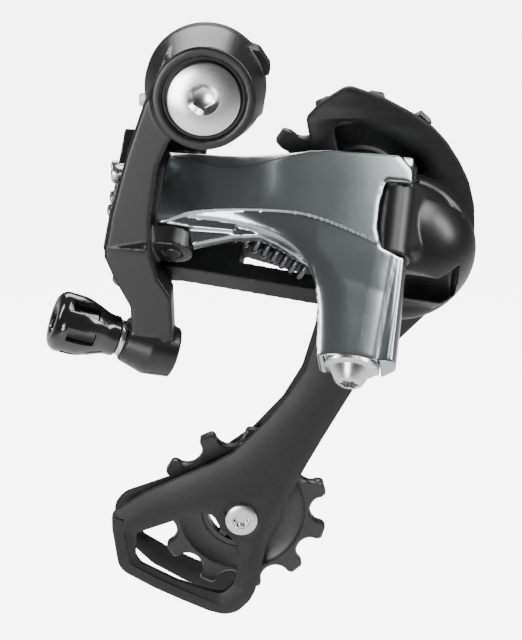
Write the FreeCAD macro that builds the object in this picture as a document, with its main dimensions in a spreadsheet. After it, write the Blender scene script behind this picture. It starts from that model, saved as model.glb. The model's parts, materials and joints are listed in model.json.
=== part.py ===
"""Rear bicycle derailleur: a slant-parallelogram mechanism with a two-pulley cage.

Row frame, in millimetres: +X towards the front of the bicycle, +Y in towards the wheel, +Z up.
The origin is on the hanger bolt's axis, in the plane of the hanger's outer face.
The four link pins are parallel. Their frame (u, v, w) has its origin on the lower end of the first
pin: w runs up along the pins, u from the first pin to the second, and v in towards the wheel.
"""
import FreeCAD, Part
import Sketcher
import math
import os
from FreeCAD import Placement, Rotation, Vector

SIZES = {
    # hanger bolt and the bracket's barrel, along Y
    "thread_radius": 5.0, "thread_length": 10.0, "axle_radius": 5.5, "axle_face": 25.0,
    "axle_head_radius": 8.7, "axle_head_thick": 2.8, "hex_key": 5.0, "hex_depth": 4.0,
    "rim_radius": 12.2, "barrel_radius": 14.8, "barrel_wall": 2.9,
    "barrel_cavity_radius": 10.6, "barrel_recess_radius": 9.9, "stopper_thick": 2.4,
    "stopper_radius": 13.9, "bush_wall": 1.0, "b_spring_radius": 8.6, "b_spring_wire": 1.7,
    # parallelogram
    "pin_slant": 42.0, "pin_rake": 7.5, "rest_swing": -6.0, "link_length": 53.0,
    "pin_spacing": 14.0, "spacing_tilt": 20.0, "pin_radius": 2.2, "boss_radius": 4.4,
    "ear_radius": 5.0, "ear_thick": 5.0, "outer_left_height": 20.2, "outer_skin": 3.2,
    "limb_drop": 25.6, "limb_depth": 6.5, "knuckle_height": 15.5,
    "carrier_knuckle_radius": 4.8, "outer_ear_thick": 7.2,
    "inner_left_height": 11.0, "inner_half_width": 4.2,
    "return_spring_radius": 2.7, "return_spring_wire": 1.8, "return_spring_pitch": 2.6,
    # cage and the pivot that carries it, along Y
    "drum_radius": 18.7, "drum_depth": 7.4, "drum_back": 0.8, "drum_cavity_radius": 12.2,
    "drum_cavity_depth": 5.8, "cage_axle_radius": 4.0, "cage_axle_reach": 10.5,
    "cage_front": 2.0, "outer_plate_thick": 3.0, "plate_gap": 10.0, "inner_plate_thick": 1.6,
    "p_spring_radius": 9.2, "p_spring_wire": 1.9,
    # pulleys
    "teeth": 11, "chain_pitch": 12.7, "roller_seat_radius": 4.1, "pulley_thick": 3.8,
    "guide_tip_radius": 24.9, "tension_tip_radius": 23.2, "pulley_bolt_radius": 2.5,
    "pulley_bush_radius": 4.4, "dust_cap_radius": 6.4, "window_radius": 10.6,
    "bolt_head_radius": 4.5, "bolt_head_thick": 1.9,
    # cable
    "adjuster_length": 18.0, "adjuster_radius": 7.5, "adjuster_waist": 5.1,
    "adjuster_bolt_radius": 2.4, "housing_radius": 2.1, "housing_depth": 7.0,
    "cable_bore_radius": 1.0, "knuckle_radius": 7.2, "knuckle_length": 13.2,
    "clamp_bolt_radius": 2.5, "clamp_flange_radius": 6.3, "clamp_plate_thick": 3.1,
    "clamp_head_height": 5.0,
    # screws
    "limit_screw_radius": 1.2, "limit_head_radius": 1.7, "b_screw_radius": 2.0,
    "b_screw_head_radius": 2.8,
    # clearances
    "running": 0.05, "gap": 0.35, "seat": 0.02,
}

doc = FreeCAD.newDocument("rear_derailleur")
sheet = doc.addObject("Spreadsheet::Sheet", "sizes")
for row, (alias, number) in enumerate(SIZES.items(), start=1):
    sheet.set(f"A{row}", alias)
    sheet.set(f"B{row}", str(number))
    sheet.setAlias(f"B{row}", alias)
doc.recompute()

PARTS = []
COIL_STEPS = 14  # straight runs in one turn of a coil
MITRED = 1  # makePipeShell joins the runs at mitred corners
X_AXIS, Y_AXIS, Z_AXIS = Vector(1, 0, 0), Vector(0, 1, 0), Vector(0, 0, 1)


def size(alias):
    """A driving dimension, read from the sheet."""
    return float(sheet.get(alias))


def along(base, direction, turn=0.0):
    """A placement whose own +Z points along a direction."""
    aim = Rotation(Z_AXIS, Vector(direction))
    return Placement(Vector(base), aim.multiply(Rotation(Z_AXIS, turn)))


def on_y(x, z, start_y):
    """A placement whose own +Z points along +Y and whose own +X stays along +X."""
    return Placement(Vector(x, start_y, z), Rotation(X_AXIS, Vector(0, 0, -1), Y_AXIS, "XYZ"))


# The pins' frame -----------------------------------------------------------------------------
slant = math.radians(size("pin_slant"))
rake = math.radians(size("pin_rake"))
PIN = Vector(math.sin(rake), math.cos(rake) * math.sin(slant), math.cos(rake) * math.cos(slant))
level = X_AXIS - PIN * X_AXIS.dot(PIN)
level.normalize()
square = PIN.cross(level)
swing = math.radians(size("rest_swing"))
LINK = level * math.cos(swing) + square * math.sin(swing)
INWARD = PIN.cross(LINK)
FIRST_PIN = Vector(-8.2, -18.0, -39.3)
PIN_FRAME = Placement(FIRST_PIN, Rotation(LINK, INWARD, PIN, "XYZ"))
lean = math.radians(size("spacing_tilt") - size("rest_swing"))
SIDE_U = -size("pin_spacing") * math.sin(lean)
SIDE_V = size("pin_spacing") * math.cos(lean)
LENGTH = size("link_length")
PINS = {"first": (0.0, 0.0), "second": (LENGTH, 0.0), "third": (SIDE_U, SIDE_V),
        "fourth": (LENGTH + SIDE_U, SIDE_V)}

# The cage's pivot and pulley centres, in the XZ plane
CAGE_PIVOT = (48.3, -41.6)
GUIDE_CENTRE = (38.8, -29.6)
TENSION_CENTRE = (8.2, -118.9)
CAGE_FRONT = size("cage_front")
PLATE_BACK = CAGE_FRONT + size("outer_plate_thick")
PULLEY_MID = PLATE_BACK + size("plate_gap") / 2
INNER_FRONT = PLATE_BACK + size("plate_gap")
INNER_BACK = INNER_FRONT + size("inner_plate_thick")
DRUM_FACE = -(size("drum_back") + size("drum_depth"))
BARREL_BACK = -(size("stopper_thick") + size("gap"))
BARREL_FRONT = -(size("axle_face") - 0.8)
HEAD_BACK = -(size("axle_face") - size("axle_head_thick"))
RECESS_FLOOR = HEAD_BACK + size("gap")
FRONT_WALL_BACK = RECESS_FLOOR + size("barrel_wall")
KNOB_SWELL, KNOB_FULL = 4.2, 11.4
ADJUSTER_SEAT = Vector(-20.5, -19.0, -60.8)
ADJUSTER_AXIS = Vector(-0.92, -0.17, 0.335).normalize()


# Shapes ----------------------------------------------------------------------------------------
def keep(piece, label):
    """Name a finished piece; its label is its file's name."""
    piece.Label = label
    PARTS.append(piece)
    return piece


def plain(label, shape, place=None):
    """A finished piece from a shape worked out with Part's functions."""
    piece = doc.addObject("Part::Feature", label)
    piece.Shape = shape.removeSplitter()
    if place is not None:
        piece.Placement = place
    return keep(piece, label)


def outline_face(points, height=0.0):
    corners = [Vector(x, y, height) for x, y in points]
    return Part.Face(Part.makePolygon(corners + corners[:1]))


def prism(points, low, high):
    """A polygon in the local XY plane, from one height to another."""
    return outline_face(points, low).extrude(Vector(0, 0, high - low))


def rod(x, y, low, high, radius):
    return Part.makeCylinder(radius, high - low, Vector(x, y, low))


def ring(low, high, inner, outer):
    return rod(0, 0, low, high, outer).cut(rod(0, 0, low - 1, high + 1, inner))


def slot(first, second, low, high, radius):
    """A bar with round ends about two points, along the local Z axis."""
    (x1, y1), (x2, y2) = first, second
    dx, dy = x2 - x1, y2 - y1
    reach = math.hypot(dx, dy)
    nx, ny = -dy / reach * radius, dx / reach * radius
    bar = prism([(x1 + nx, y1 + ny), (x1 - nx, y1 - ny), (x2 - nx, y2 - ny), (x2 + nx, y2 + ny)],
                low, high)
    return bar.fuse([rod(x1, y1, low, high, radius), rod(x2, y2, low, high, radius)])


def edge_round(shape, radius, wanted):
    """Round the edges that a test picks."""
    edges = [edge for edge in shape.Edges if wanted(edge)]
    return shape.makeFillet(radius, edges)


def in_row(shape, place):
    """A copy of a locally drawn shape, moved to its place."""
    moved = shape.copy()
    moved.Placement = place.multiply(moved.Placement)
    return moved


def new_body(label, place):
    body = doc.addObject("PartDesign::Body", label)
    body.Placement = place
    return keep(body, label)


def plane_of(body, role):
    return next(item for item in body.Origin.OriginFeatures if item.Role == role)


def new_sketch(body, name, role, height=0.0):
    sketch = body.newObject("Sketcher::SketchObject", name)
    sketch.AttachmentSupport = [(plane_of(body, role), "")]
    sketch.MapMode = "FlatFace"
    sketch.AttachmentOffset = Placement(Vector(0, 0, height), Rotation())
    return sketch


def draw_polygon(sketch, points):
    corners = [Vector(x, y, 0) for x, y in points]
    for start, end in zip(corners, corners[1:] + corners[:1]):
        sketch.addGeometry(Part.LineSegment(start, end), False)


def turned(label, profile, place):
    """A turned piece: a profile of (radius, height) swept once round the local Z axis."""
    body = new_body(label, place)
    sketch = new_sketch(body, label + "_profile", "XZ_Plane")
    draw_polygon(sketch, profile)
    turn = body.newObject("PartDesign::Revolution", label + "_turn")
    turn.Profile = sketch
    turn.ReferenceAxis = (sketch, ["V_Axis"])
    turn.Angle = 360
    doc.recompute()
    return body


def pad(body, name, points, low, thick_alias):
    """Pad a polygon by a thickness from the sheet."""
    sketch = new_sketch(body, name + "_outline", "XY_Plane", low)
    draw_polygon(sketch, points)
    feature = body.newObject("PartDesign::Pad", name)
    feature.Profile = sketch
    feature.setExpression("Length", f"sizes.{thick_alias}")
    doc.recompute()
    return feature


def cut_through(body, name, points, height, both=True):
    """Cut a polygon right through a body."""
    sketch = new_sketch(body, name + "_outline", "XY_Plane", height)
    draw_polygon(sketch, points)
    feature = body.newObject("PartDesign::Pocket", name)
    feature.Profile = sketch
    feature.Type = "ThroughAll"
    feature.Midplane = both
    doc.recompute()
    return feature


def hole(body, name, centre, radius_formula, height=0.0):
    """A round through hole whose radius follows the sheet."""
    sketch = new_sketch(body, name + "_circle", "XY_Plane", height)
    sketch.addGeometry(Part.Circle(Vector(*centre, 0), Z_AXIS, 1.0), False)
    sketch.addConstraint(Sketcher.Constraint("Radius", 0, 1.0))
    sketch.setExpression("Constraints[0]", radius_formula)
    feature = body.newObject("PartDesign::Pocket", name)
    feature.Profile = sketch
    feature.Type = "ThroughAll"
    feature.Midplane = True
    doc.recompute()
    return feature


def hexagon(key, turn=0.0):
    reach = key / math.sqrt(3)
    return [(reach * math.cos(math.radians(60 * i + turn)),
             reach * math.sin(math.radians(60 * i + turn))) for i in range(6)]


def socket(body, name, key, depth, face_height=0.0):
    """A hexagon key socket sunk into a face that looks along the local -Z."""
    sketch = new_sketch(body, name + "_hexagon", "XY_Plane", face_height)
    draw_polygon(sketch, hexagon(key))
    feature = body.newObject("PartDesign::Pocket", name)
    feature.Profile = sketch
    feature.Length = depth
    feature.Reversed = True
    doc.recompute()
    return feature


def coil(radius, wire, pitch, turns, place):
    """A helical spring of round wire, its axis along the local Z axis."""
    count = round(turns * COIL_STEPS)
    points = []
    for step in range(count + 1):
        angle = 2 * math.pi * step / COIL_STEPS
        points.append(Vector(radius * math.cos(angle), radius * math.sin(angle),
                             pitch * step / COIL_STEPS))
    section = Part.Wire([Part.makeCircle(wire / 2, points[0], points[1] - points[0])])
    path = Part.Wire(Part.makePolygon(points).Edges)
    spring = path.makePipeShell([section], True, False, MITRED)
    return in_row(spring, place)


def pulley(label, centre, tip_radius_alias, first_tooth):
    """A toothed chain pulley, its thickness centred on the chain line."""
    count = int(size("teeth"))
    tip = size(tip_radius_alias)
    half = size("pulley_thick") / 2
    pitch_radius = size("chain_pitch") / (2 * math.sin(math.pi / count))
    rim_inner = size("window_radius") + 6.0
    web = half - 0.7
    hub = size("pulley_bush_radius") + size("running")
    body = turned(label, [(hub, -half), (size("window_radius") - 0.2, -half),
                          (size("window_radius") + 0.8, -web), (rim_inner, -web),
                          (rim_inner + 0.6, -half), (tip - 1.6, -half), (tip, -half + 0.75),
                          (tip, half - 0.75), (tip - 1.6, half), (rim_inner + 0.6, half),
                          (rim_inner, web), (size("window_radius") + 0.8, web),
                          (size("window_radius") - 0.2, half), (hub, half)],
                  on_y(centre[0], centre[1], PULLEY_MID))
    seat = size("roller_seat_radius")
    tip_width = 3.9
    mouth = math.pi * (tip + 1) / count - tip_width / 2
    sketch = new_sketch(body, label + "_valley", "XY_Plane")
    middle = math.radians(first_tooth + 180 / count)
    across = Vector(-math.sin(middle), math.cos(middle), 0)
    outward = Vector(math.cos(middle), math.sin(middle), 0)
    floor = outward * pitch_radius
    left, right = floor + across * seat, floor - across * seat
    sketch.addGeometry(Part.Arc(left, floor - outward * seat, right), False)
    sketch.addGeometry(Part.LineSegment(right, outward * (tip + 1) - across * mouth), False)
    sketch.addGeometry(Part.LineSegment(outward * (tip + 1) - across * mouth,
                                        outward * (tip + 1) + across * mouth), False)
    sketch.addGeometry(Part.LineSegment(outward * (tip + 1) + across * mouth, left), False)
    valley = body.newObject("PartDesign::Pocket", label + "_valley_cut")
    valley.Profile = sketch
    valley.Type = "ThroughAll"
    valley.Midplane = True
    doc.recompute()
    around = body.newObject("PartDesign::PolarPattern", label + "_teeth")
    around.Originals = [valley]
    around.Axis = (sketch, ["N_Axis"])
    around.Angle = 360
    around.setExpression("Occurrences", "sizes.teeth")
    body.Tip = around
    doc.recompute()
    inner, outer = hub + 2.2, size("window_radius")
    sketch = new_sketch(body, label + "_window", "XY_Plane")
    a1, a2 = math.radians(192), math.radians(252)
    def at(radius, angle):
        return Vector(radius * math.cos(angle), radius * math.sin(angle), 0)
    mid = (a1 + a2) / 2
    sketch.addGeometry(Part.Arc(at(outer, a1), at(outer, mid), at(outer, a2)), False)
    sketch.addGeometry(Part.LineSegment(at(outer, a2), at(inner, a2)), False)
    sketch.addGeometry(Part.Arc(at(inner, a2), at(inner, mid), at(inner, a1)), False)
    sketch.addGeometry(Part.LineSegment(at(inner, a1), at(outer, a1)), False)
    window = body.newObject("PartDesign::Pocket", label + "_window_cut")
    window.Profile = sketch
    window.Type = "ThroughAll"
    window.Midplane = True
    doc.recompute()
    spokes = body.newObject("PartDesign::PolarPattern", label + "_spokes")
    spokes.Originals = [window]
    spokes.Axis = (sketch, ["N_Axis"])
    spokes.Angle = 360
    spokes.Occurrences = 5
    body.Tip = spokes
    doc.recompute()
    return body


# The fixed end: bolt, stopper plate and clip ---------------------------------------------------
def fixed_end():
    thread, shank = size("thread_radius"), size("axle_radius")
    face, head = -size("axle_face"), size("axle_head_radius")
    shoulder = -size("stopper_thick")
    clip_front = shoulder - 1.5
    groove = shank - 0.5
    relief_width, relief_radius = 1.0, thread - 0.6
    axle = turned("bracket_axle", [(0, face), (head - 0.5, face), (head, face + 0.5),
                                   (head, HEAD_BACK), (shank, HEAD_BACK), (shank, clip_front),
                                   (groove, clip_front), (groove, clip_front + 0.9),
                                   (shank, clip_front + 0.9), (shank, shoulder),
                                   (thread, shoulder), (thread, -relief_width),
                                   (relief_radius, -relief_width), (relief_radius, 0),
                                   (thread, 0), (thread, size("thread_length") - 0.8),
                                   (thread - 0.8, size("thread_length")),
                                   (0, size("thread_length"))], on_y(0, 0, 0))
    socket(axle, "axle_socket", size("hex_key"), size("hex_depth"), face)
    bore = thread + size("seat")
    plate = rod(0, 0, 0, size("stopper_thick"), size("stopper_radius"))
    catch = prism([(9.0, -2.0), (14.4, 4.9), (13.9, 8.0), (9.0, 12.2)], 0, size("stopper_thick"))
    hook = prism([(-9.0, 2.0), (-9.0, 8.0), (-16.6, 6.0), (-16.6, 3.4)], 0, size("stopper_thick"))
    plate = plate.fuse([catch, hook]).cut(rod(0, 0, -1, size("stopper_thick") + 1, bore))
    plain("stopper_plate", plate, on_y(0, 0, shoulder))
    clip = ring(0, 0.8, groove + size("seat"), shank + 1.6)
    clip = clip.cut(Part.makeBox(9, 3, 4, Vector(0, -1.5, -1)))
    plain("axle_clip", clip, on_y(0, 0, clip_front + 0.05))


# The bracket body ------------------------------------------------------------------------------
def barrel():
    """The hollow round housing about the hanger bolt, in the row frame."""
    bush_outer = size("axle_radius") + size("running") + size("bush_wall")
    profile = [(bush_outer, RECESS_FLOOR), (size("barrel_recess_radius"), RECESS_FLOOR),
               (size("barrel_recess_radius"), BARREL_FRONT), (size("rim_radius"), BARREL_FRONT),
               (size("barrel_radius"), -9.0), (size("barrel_radius"), BARREL_BACK),
               (size("barrel_cavity_radius"), BARREL_BACK),
               (size("barrel_cavity_radius"), FRONT_WALL_BACK), (bush_outer, FRONT_WALL_BACK)]
    corners = [Vector(r, 0, z) for r, z in profile]
    shape = Part.Face(Part.makePolygon(corners + corners[:1])).revolve(Vector(), Z_AXIS, 360)
    return in_row(shape, on_y(0, 0, 0))


ARM = [(-8.5, 11.0), (-14.2, -1.7), (-18.5, -13.8), (-22.6, -28.7), (-24.4, -38.7),
       (-22.3, -43.8), (-18.3, -51.5), (-18.3, -60.0), (-8.0, -60.0), (-8.3, -49.0),
       (-11.5, -44.0), (-13.2, -38.0), (-13.2, -29.0), (-11.2, -16.8), (-8.0, -10.0)]


def bracket_body():
    boss, ear, ear_thick = size("boss_radius"), size("ear_radius"), size("ear_thick")
    gap = size("gap")
    top = ear_thick + gap + size("outer_left_height") + gap
    arm = in_row(prism([(x, -z) for x, z in ARM], 0, 12.0), on_y(0, 0, -23.5))
    wall = prism([(-15.5, -7.5), (-boss - 0.7, -7.5), (-boss - 0.7, 4.0), (-12.2, 8.0),
                  (-12.2, 16.0), (-15.5, 16.0)], -3.5, top)
    wall = wall.fuse(prism([(-15.5, -7.5), (-boss - 0.7, -7.5), (-boss - 0.7, 4.0),
                            (-12.2, 8.0), (-15.5, 8.0)], top, top + 4.0))
    low_ear = slot((0, 0), (-9.0, 0), 0, ear_thick, ear)
    high_ear = slot((0, 0), (-9.0, 0), top, top + 4.0, boss)
    third = PINS["third"]
    floor = -3.5
    low_lug = slot(third, (third[0] - 6, third[1] - 1), floor, 0, boss)
    lug_top = gap + size("inner_left_height") + gap
    high_lug = slot(third, (third[0] - 6, third[1] - 1), lug_top, lug_top + 3.2, boss)
    lugs = wall.fuse([low_ear, high_ear, low_lug, high_lug])
    lugs = in_row(lugs, PIN_FRAME)
    waist, widest = size("adjuster_waist"), size("knuckle_radius")
    swell = size("knuckle_length") / 2
    knuckle = Part.makeCone(waist + gap, widest, swell)
    knuckle = knuckle.fuse(Part.makeCone(widest, widest - 0.9, swell, Vector(0, 0, swell)))
    knuckle = in_row(knuckle, along(ADJUSTER_SEAT, ADJUSTER_AXIS * -1))
    horn = in_row(prism([(5.0, -12.0), (13.2, -9.2), (15.8, -5.2), (15.4, -3.2), (11.0, -3.0)],
                        0, 9.0), on_y(0, 0, -12.0))
    shape = barrel().fuse([arm, lugs, knuckle, horn])
    cavity = in_row(ring(FRONT_WALL_BACK, 12, 0.01, size("barrel_cavity_radius")),
                    on_y(0, 0, 0))
    recess = in_row(rod(0, 0, -40, RECESS_FLOOR, size("barrel_recess_radius")), on_y(0, 0, 0))
    bush_outer = size("axle_radius") + size("running") + size("bush_wall") + size("seat")
    bore = in_row(rod(0, 0, -40, 20, bush_outer), on_y(0, 0, 0))
    stopper_room = in_row(rod(0, 0, BARREL_BACK, 3, size("stopper_radius") + gap),
                          on_y(0, 0, 0))
    tab_room = in_row(ring(BARREL_BACK, 3, 5.0, 18.0), on_y(0, 0, 0))
    tab_room = tab_room.common(Part.makeBox(40, 40, 40, Vector(-30, -20, -9)))
    pin_hole = size("pin_radius") + size("seat")
    pins = [rod(*PINS["first"], -6, top + 8, pin_hole), rod(*third, -6, lug_top + 8, pin_hole)]
    pins = [in_row(pin, PIN_FRAME) for pin in pins]
    bolt_hole = in_row(Part.makeCylinder(size("adjuster_bolt_radius") + size("running"), 40,
                                         Vector(0, 0, -20)), along(ADJUSTER_SEAT, ADJUSTER_AXIS))
    knob = size("adjuster_radius") + gap
    collar_room = rod(0, 0, 0.01, KNOB_SWELL, waist + gap).fuse(
        [Part.makeCone(waist + gap, knob, KNOB_FULL - KNOB_SWELL, Vector(0, 0, KNOB_SWELL)),
         rod(0, 0, KNOB_FULL, 40, knob)])
    collar_room = in_row(collar_room, along(ADJUSTER_SEAT, ADJUSTER_AXIS))
    swing_room = [in_row(cut, PIN_FRAME) for cut in link_sweep(third, 0.0, 0.0, lug_top)]
    shape = shape.cut([cavity, recess, bore, stopper_room, tab_room, *pins, bolt_hole,
                       collar_room, *swing_room])
    for screw in SCREWS:
        shank = rod(0, 0, -0.5, screw["length"] + 0.5, screw["radius"] + size("seat"))
        head = rod(0, 0, -9.0, 0.0, screw["head"] + 0.25)
        shape = shape.cut([in_row(shank, screw["place"]), in_row(head, screw["place"])])
    plain("bracket_body", shape)


def link_sweep(pin, start, low, high):
    """The room that the inner link's round end and bar pass through as it swings."""
    half = size("inner_half_width") + 0.4
    cuts = [rod(*pin, low, high, half)]
    for step in range(0, 51, 5):
        turn = math.radians(start + step)
        tip = (pin[0] + 45.0 * math.cos(turn), pin[1] + 45.0 * math.sin(turn))
        cuts.append(slot(pin, tip, low, high, half))
    return cuts


LIMIT_AXIS = LINK
SCREWS = []


def place_screws():
    """The two limit screws enter the bracket from behind, and the tension screw above them."""
    for label, drop in (("high_limit_screw", 13.0), ("low_limit_screw", 9.3)):
        head = PIN_FRAME.multVec(Vector(-15.5 - 0.1, -2.6, drop))
        SCREWS.append({"label": label, "place": along(head, LIMIT_AXIS), "length": 9.4,
                       "radius": size("limit_screw_radius"), "head": size("limit_head_radius"),
                       "head_thick": 1.5})
    SCREWS.append({"label": "bracket_tension_screw",
                   "place": along(Vector(-20.9, -14.0, -19.9), X_AXIS), "length": 7.0,
                   "radius": size("b_screw_radius"), "head": size("b_screw_head_radius"),
                   "head_thick": 1.9})


def screws():
    for screw in SCREWS:
        head, radius, thick = screw["head"], screw["radius"], screw["head_thick"]
        body = turned(screw["label"], [(0, -thick), (head - 0.4, -thick), (head, -thick + 0.4),
                                       (head, 0), (radius, 0), (radius, screw["length"] - 0.5),
                                       (radius - 0.5, screw["length"]), (0, screw["length"])],
                      screw["place"])
        for index, turn in enumerate((0, 90)):
            sketch = new_sketch(body, f"{screw['label']}_slot_{index}", "XY_Plane", -thick)
            long, wide = head * 0.62, 0.35
            corners = [(long, wide), (-long, wide), (-long, -wide), (long, -wide)]
            angle = math.radians(turn)
            draw_polygon(sketch, [(x * math.cos(angle) - y * math.sin(angle),
                                   x * math.sin(angle) + y * math.cos(angle))
                                  for x, y in corners])
            feature = body.newObject("PartDesign::Pocket", f"{screw['label']}_cross_{index}")
            feature.Profile = sketch
            feature.Length = 0.8
            feature.Reversed = True
            doc.recompute()


def bracket_inside():
    """Bush, torsion spring and dust ring in the barrel."""
    inner = size("axle_radius") + size("running")
    outer = inner + size("bush_wall")
    turned("bracket_bush", [(inner, RECESS_FLOOR), (outer, RECESS_FLOOR),
                            (outer, FRONT_WALL_BACK), (outer, FRONT_WALL_BACK + 4.0),
                            (inner, FRONT_WALL_BACK + 4.0)], on_y(0, 0, 0))
    room = -FRONT_WALL_BACK + BARREL_BACK
    wire = size("b_spring_wire")
    pitch = 2.55
    turns = int((room - wire - 1.2) / pitch)
    spring = coil(size("b_spring_radius"), wire, pitch, turns,
                  on_y(0, 0, FRONT_WALL_BACK + wire / 2 + 0.4))
    plain("bracket_spring", spring)
    dust_inner = size("axle_head_radius") + 0.35
    dust_outer = size("barrel_recess_radius") - size("seat")
    turned("bracket_dust_ring", [(dust_inner, RECESS_FLOOR), (dust_outer, RECESS_FLOOR),
                                 (dust_outer, RECESS_FLOOR - 1.6),
                                 (dust_inner, RECESS_FLOOR - 1.6)], on_y(0, 0, 0))


# The links -------------------------------------------------------------------------------------
OUTER_SKIN = [(-4.2, 5.4), (-4.2, 22.0), (-2.5, 24.8), (1.4, 25.5), (21.3, 26.3), (35.9, 28.0),
              (53.0, 28.0), (56.6, 24.0), (56.6, 20.8), (50.4, 20.8), (49.5, 15.0),
              (49.5, 8.5), (51.0, 3.2), (55.3, 1.6), (55.3, -25.6), (38.6, -25.6),
              (38.2, -16.0), (37.2, -9.0), (34.0, -1.5), (29.0, 3.6), (22.0, 7.2),
              (12.0, 8.2), (3.0, 6.8)]


def outer_link():
    gap, boss = size("gap"), size("boss_radius")
    low = size("ear_thick") + gap
    high = low + size("outer_left_height")
    skin_back, skin = -3.6, size("outer_skin")
    place = Placement(Vector(0, skin_back, 0), Rotation(X_AXIS, Z_AXIS, Vector(0, -1, 0), "XYZ"))
    face = in_row(prism([(u, w) for u, w in OUTER_SKIN], 0, skin), place)
    left = rod(0, 0, low, high, boss)
    left = left.fuse(prism([(-4.2, -6.4), (4.4, -6.4), (4.4, 0), (-4.2, 0)], low, high))
    upper_low = low + size("knuckle_height")
    ear_high = upper_low + size("outer_ear_thick")
    second = PINS["second"]
    ear = rod(*second, upper_low, ear_high, 4.2)
    ear = ear.fuse(prism([(46.0, -6.0), (56.4, -6.0), (57.0, 0.5), (49.5, 1.5)],
                         upper_low, ear_high))
    depth, drop = size("limb_depth"), size("limb_drop")
    limb_high = low - gap - 3.4
    limb = prism([(38.8, -depth), (55.2, -depth), (57.2, -1.5), (57.2, 2.0), (54.0, depth),
                  (38.8, depth)], -drop, limb_high)
    relief = rod(*second, limb_high + 0.01, upper_low, size("carrier_knuckle_radius") + gap)
    arch = in_row(prism([(30.0, 12.0), (22.0, 7.2), (29.0, 3.6), (34.0, -1.5), (37.2, -9.0),
                         (38.2, -16.0), (40.5, -16.0), (40.5, 3.0)], 0, 3.6),
                  Placement(Vector(0, -2.8, 0), Rotation(X_AXIS, Z_AXIS, Vector(0, -1, 0), "XYZ")))
    shape = face.fuse([left, ear, limb, arch])
    bay = prism([(40.4, -depth + 1.9), (53.4, -depth + 1.9), (53.4, depth + 1),
                 (40.4, depth + 1)], -drop - 1, -drop + 3.2)
    pin = size("pin_radius") + size("running")
    pin_holes = [rod(0, 0, low - 1, high + 1, pin), rod(*second, -22, ear_high - 1.5, pin)]
    bolt = rod(CLAMP_U, 0, -drop - 1, -drop + 12.5, size("clamp_bolt_radius") + size("seat"))
    anchor = rod(*SPRING_HOOK, 2.5, 13.4, SPRING_PIN_RADIUS + size("seat"))
    seat = in_row(prism([(3.0, 5.4), (15.0, 5.4), (15.0, 14.0), (3.0, 14.0)], 0, 9.0),
                  Placement(Vector(0, 3.4, 0), Rotation(X_AXIS, Z_AXIS, Vector(0, -1, 0), "XYZ")))
    hook_room = rod(*SPRING_HOOK, 7.0, 11.6, 3.3).fuse(
        prism([(SPRING_HOOK[0], -2.4), (24, -2.4), (24, 9), (SPRING_HOOK[0], 3.4)], 7.0, 11.6))
    shape = shape.fuse(seat).cut([bay, *pin_holes, bolt, hook_room, anchor, relief])
    plain("outer_link", shape, PIN_FRAME)


CLAMP_U = 46.8
SPRING_HOOK = (9.4, 0.2)
SPRING_PIN_RADIUS = 1.8


def inner_link():
    third, fourth = PINS["third"], PINS["fourth"]
    half = size("inner_half_width")
    high = size("gap") + size("inner_left_height")
    low = size("gap")
    plan = slot(third, fourth, -6, high + 1, half)
    left, right = third[0] - half - 1, fourth[0] + half + 1
    side = [(left, low), (1.0, low), (13.0, low - 1.2), (fourth[0] - half, -4.0), (right, -4.0),
            (right, 6.6), (fourth[0] - half - 8.0, 6.6), (13.0, high), (left, high)]
    place = Placement(Vector(0, third[1] + 10, 0),
                      Rotation(X_AXIS, Z_AXIS, Vector(0, -1, 0), "XYZ"))
    shape = plan.common(in_row(prism(side, 0, 20), place))
    window = in_row(prism([(15.0, 3.2), (36.5, 0.8), (36.5, 3.4), (15.0, 8.4)], 0, 20), place)
    pin = size("pin_radius") + size("running")
    shape = shape.cut([window, rod(*third, -8, high + 2, pin), rod(*fourth, -8, high + 2, pin)])
    plain("inner_link", shape, PIN_FRAME)


def link_pins():
    """Four parallel pins; the outer link's pins run the full height of its bosses."""
    gap = size("gap")
    top = size("ear_thick") + 2 * gap + size("outer_left_height")
    lug_top = 2 * gap + size("inner_left_height")
    spans = {"first": (-0.25, top + 3.8), "second": (-20.0, 26.2),
             "third": (-3.2, lug_top + 3.0), "fourth": (-7.6, 10.0)}
    labels = {"first": "outer_link_bracket_pin", "second": "outer_link_cage_pin",
              "third": "inner_link_bracket_pin", "fourth": "inner_link_cage_pin"}
    for key, (low, high) in spans.items():
        radius = size("pin_radius")
        body = turned(labels[key], [(0, low), (radius - 0.3, low), (radius, low + 0.3),
                                    (radius, high - 0.3), (radius - 0.3, high), (0, high)],
                      PIN_FRAME.multiply(Placement(Vector(*PINS[key], 0), Rotation())))
        body.Label = labels[key]
    radius = SPRING_PIN_RADIUS
    turned("spring_anchor_pin", [(0, 6.0), (radius, 6.0), (radius, 13.2), (0, 13.2)],
           PIN_FRAME.multiply(Placement(Vector(*SPRING_HOOK, 0), Rotation())))


def return_spring():
    """An extension coil drawn from the anchor pin towards the inner link's outer end."""
    start = Vector(SPRING_HOOK[0] + 8.0, 1.9, 7.9)
    end = Vector(PINS["fourth"][0] - 12.6, PINS["fourth"][1] - 8.3, -0.6)
    axis = end - start
    turns = int(axis.Length / size("return_spring_pitch"))
    spring = coil(size("return_spring_radius"), size("return_spring_wire"),
                  size("return_spring_pitch"), turns, along(start, axis))
    plain("return_spring", spring, PIN_FRAME)


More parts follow.
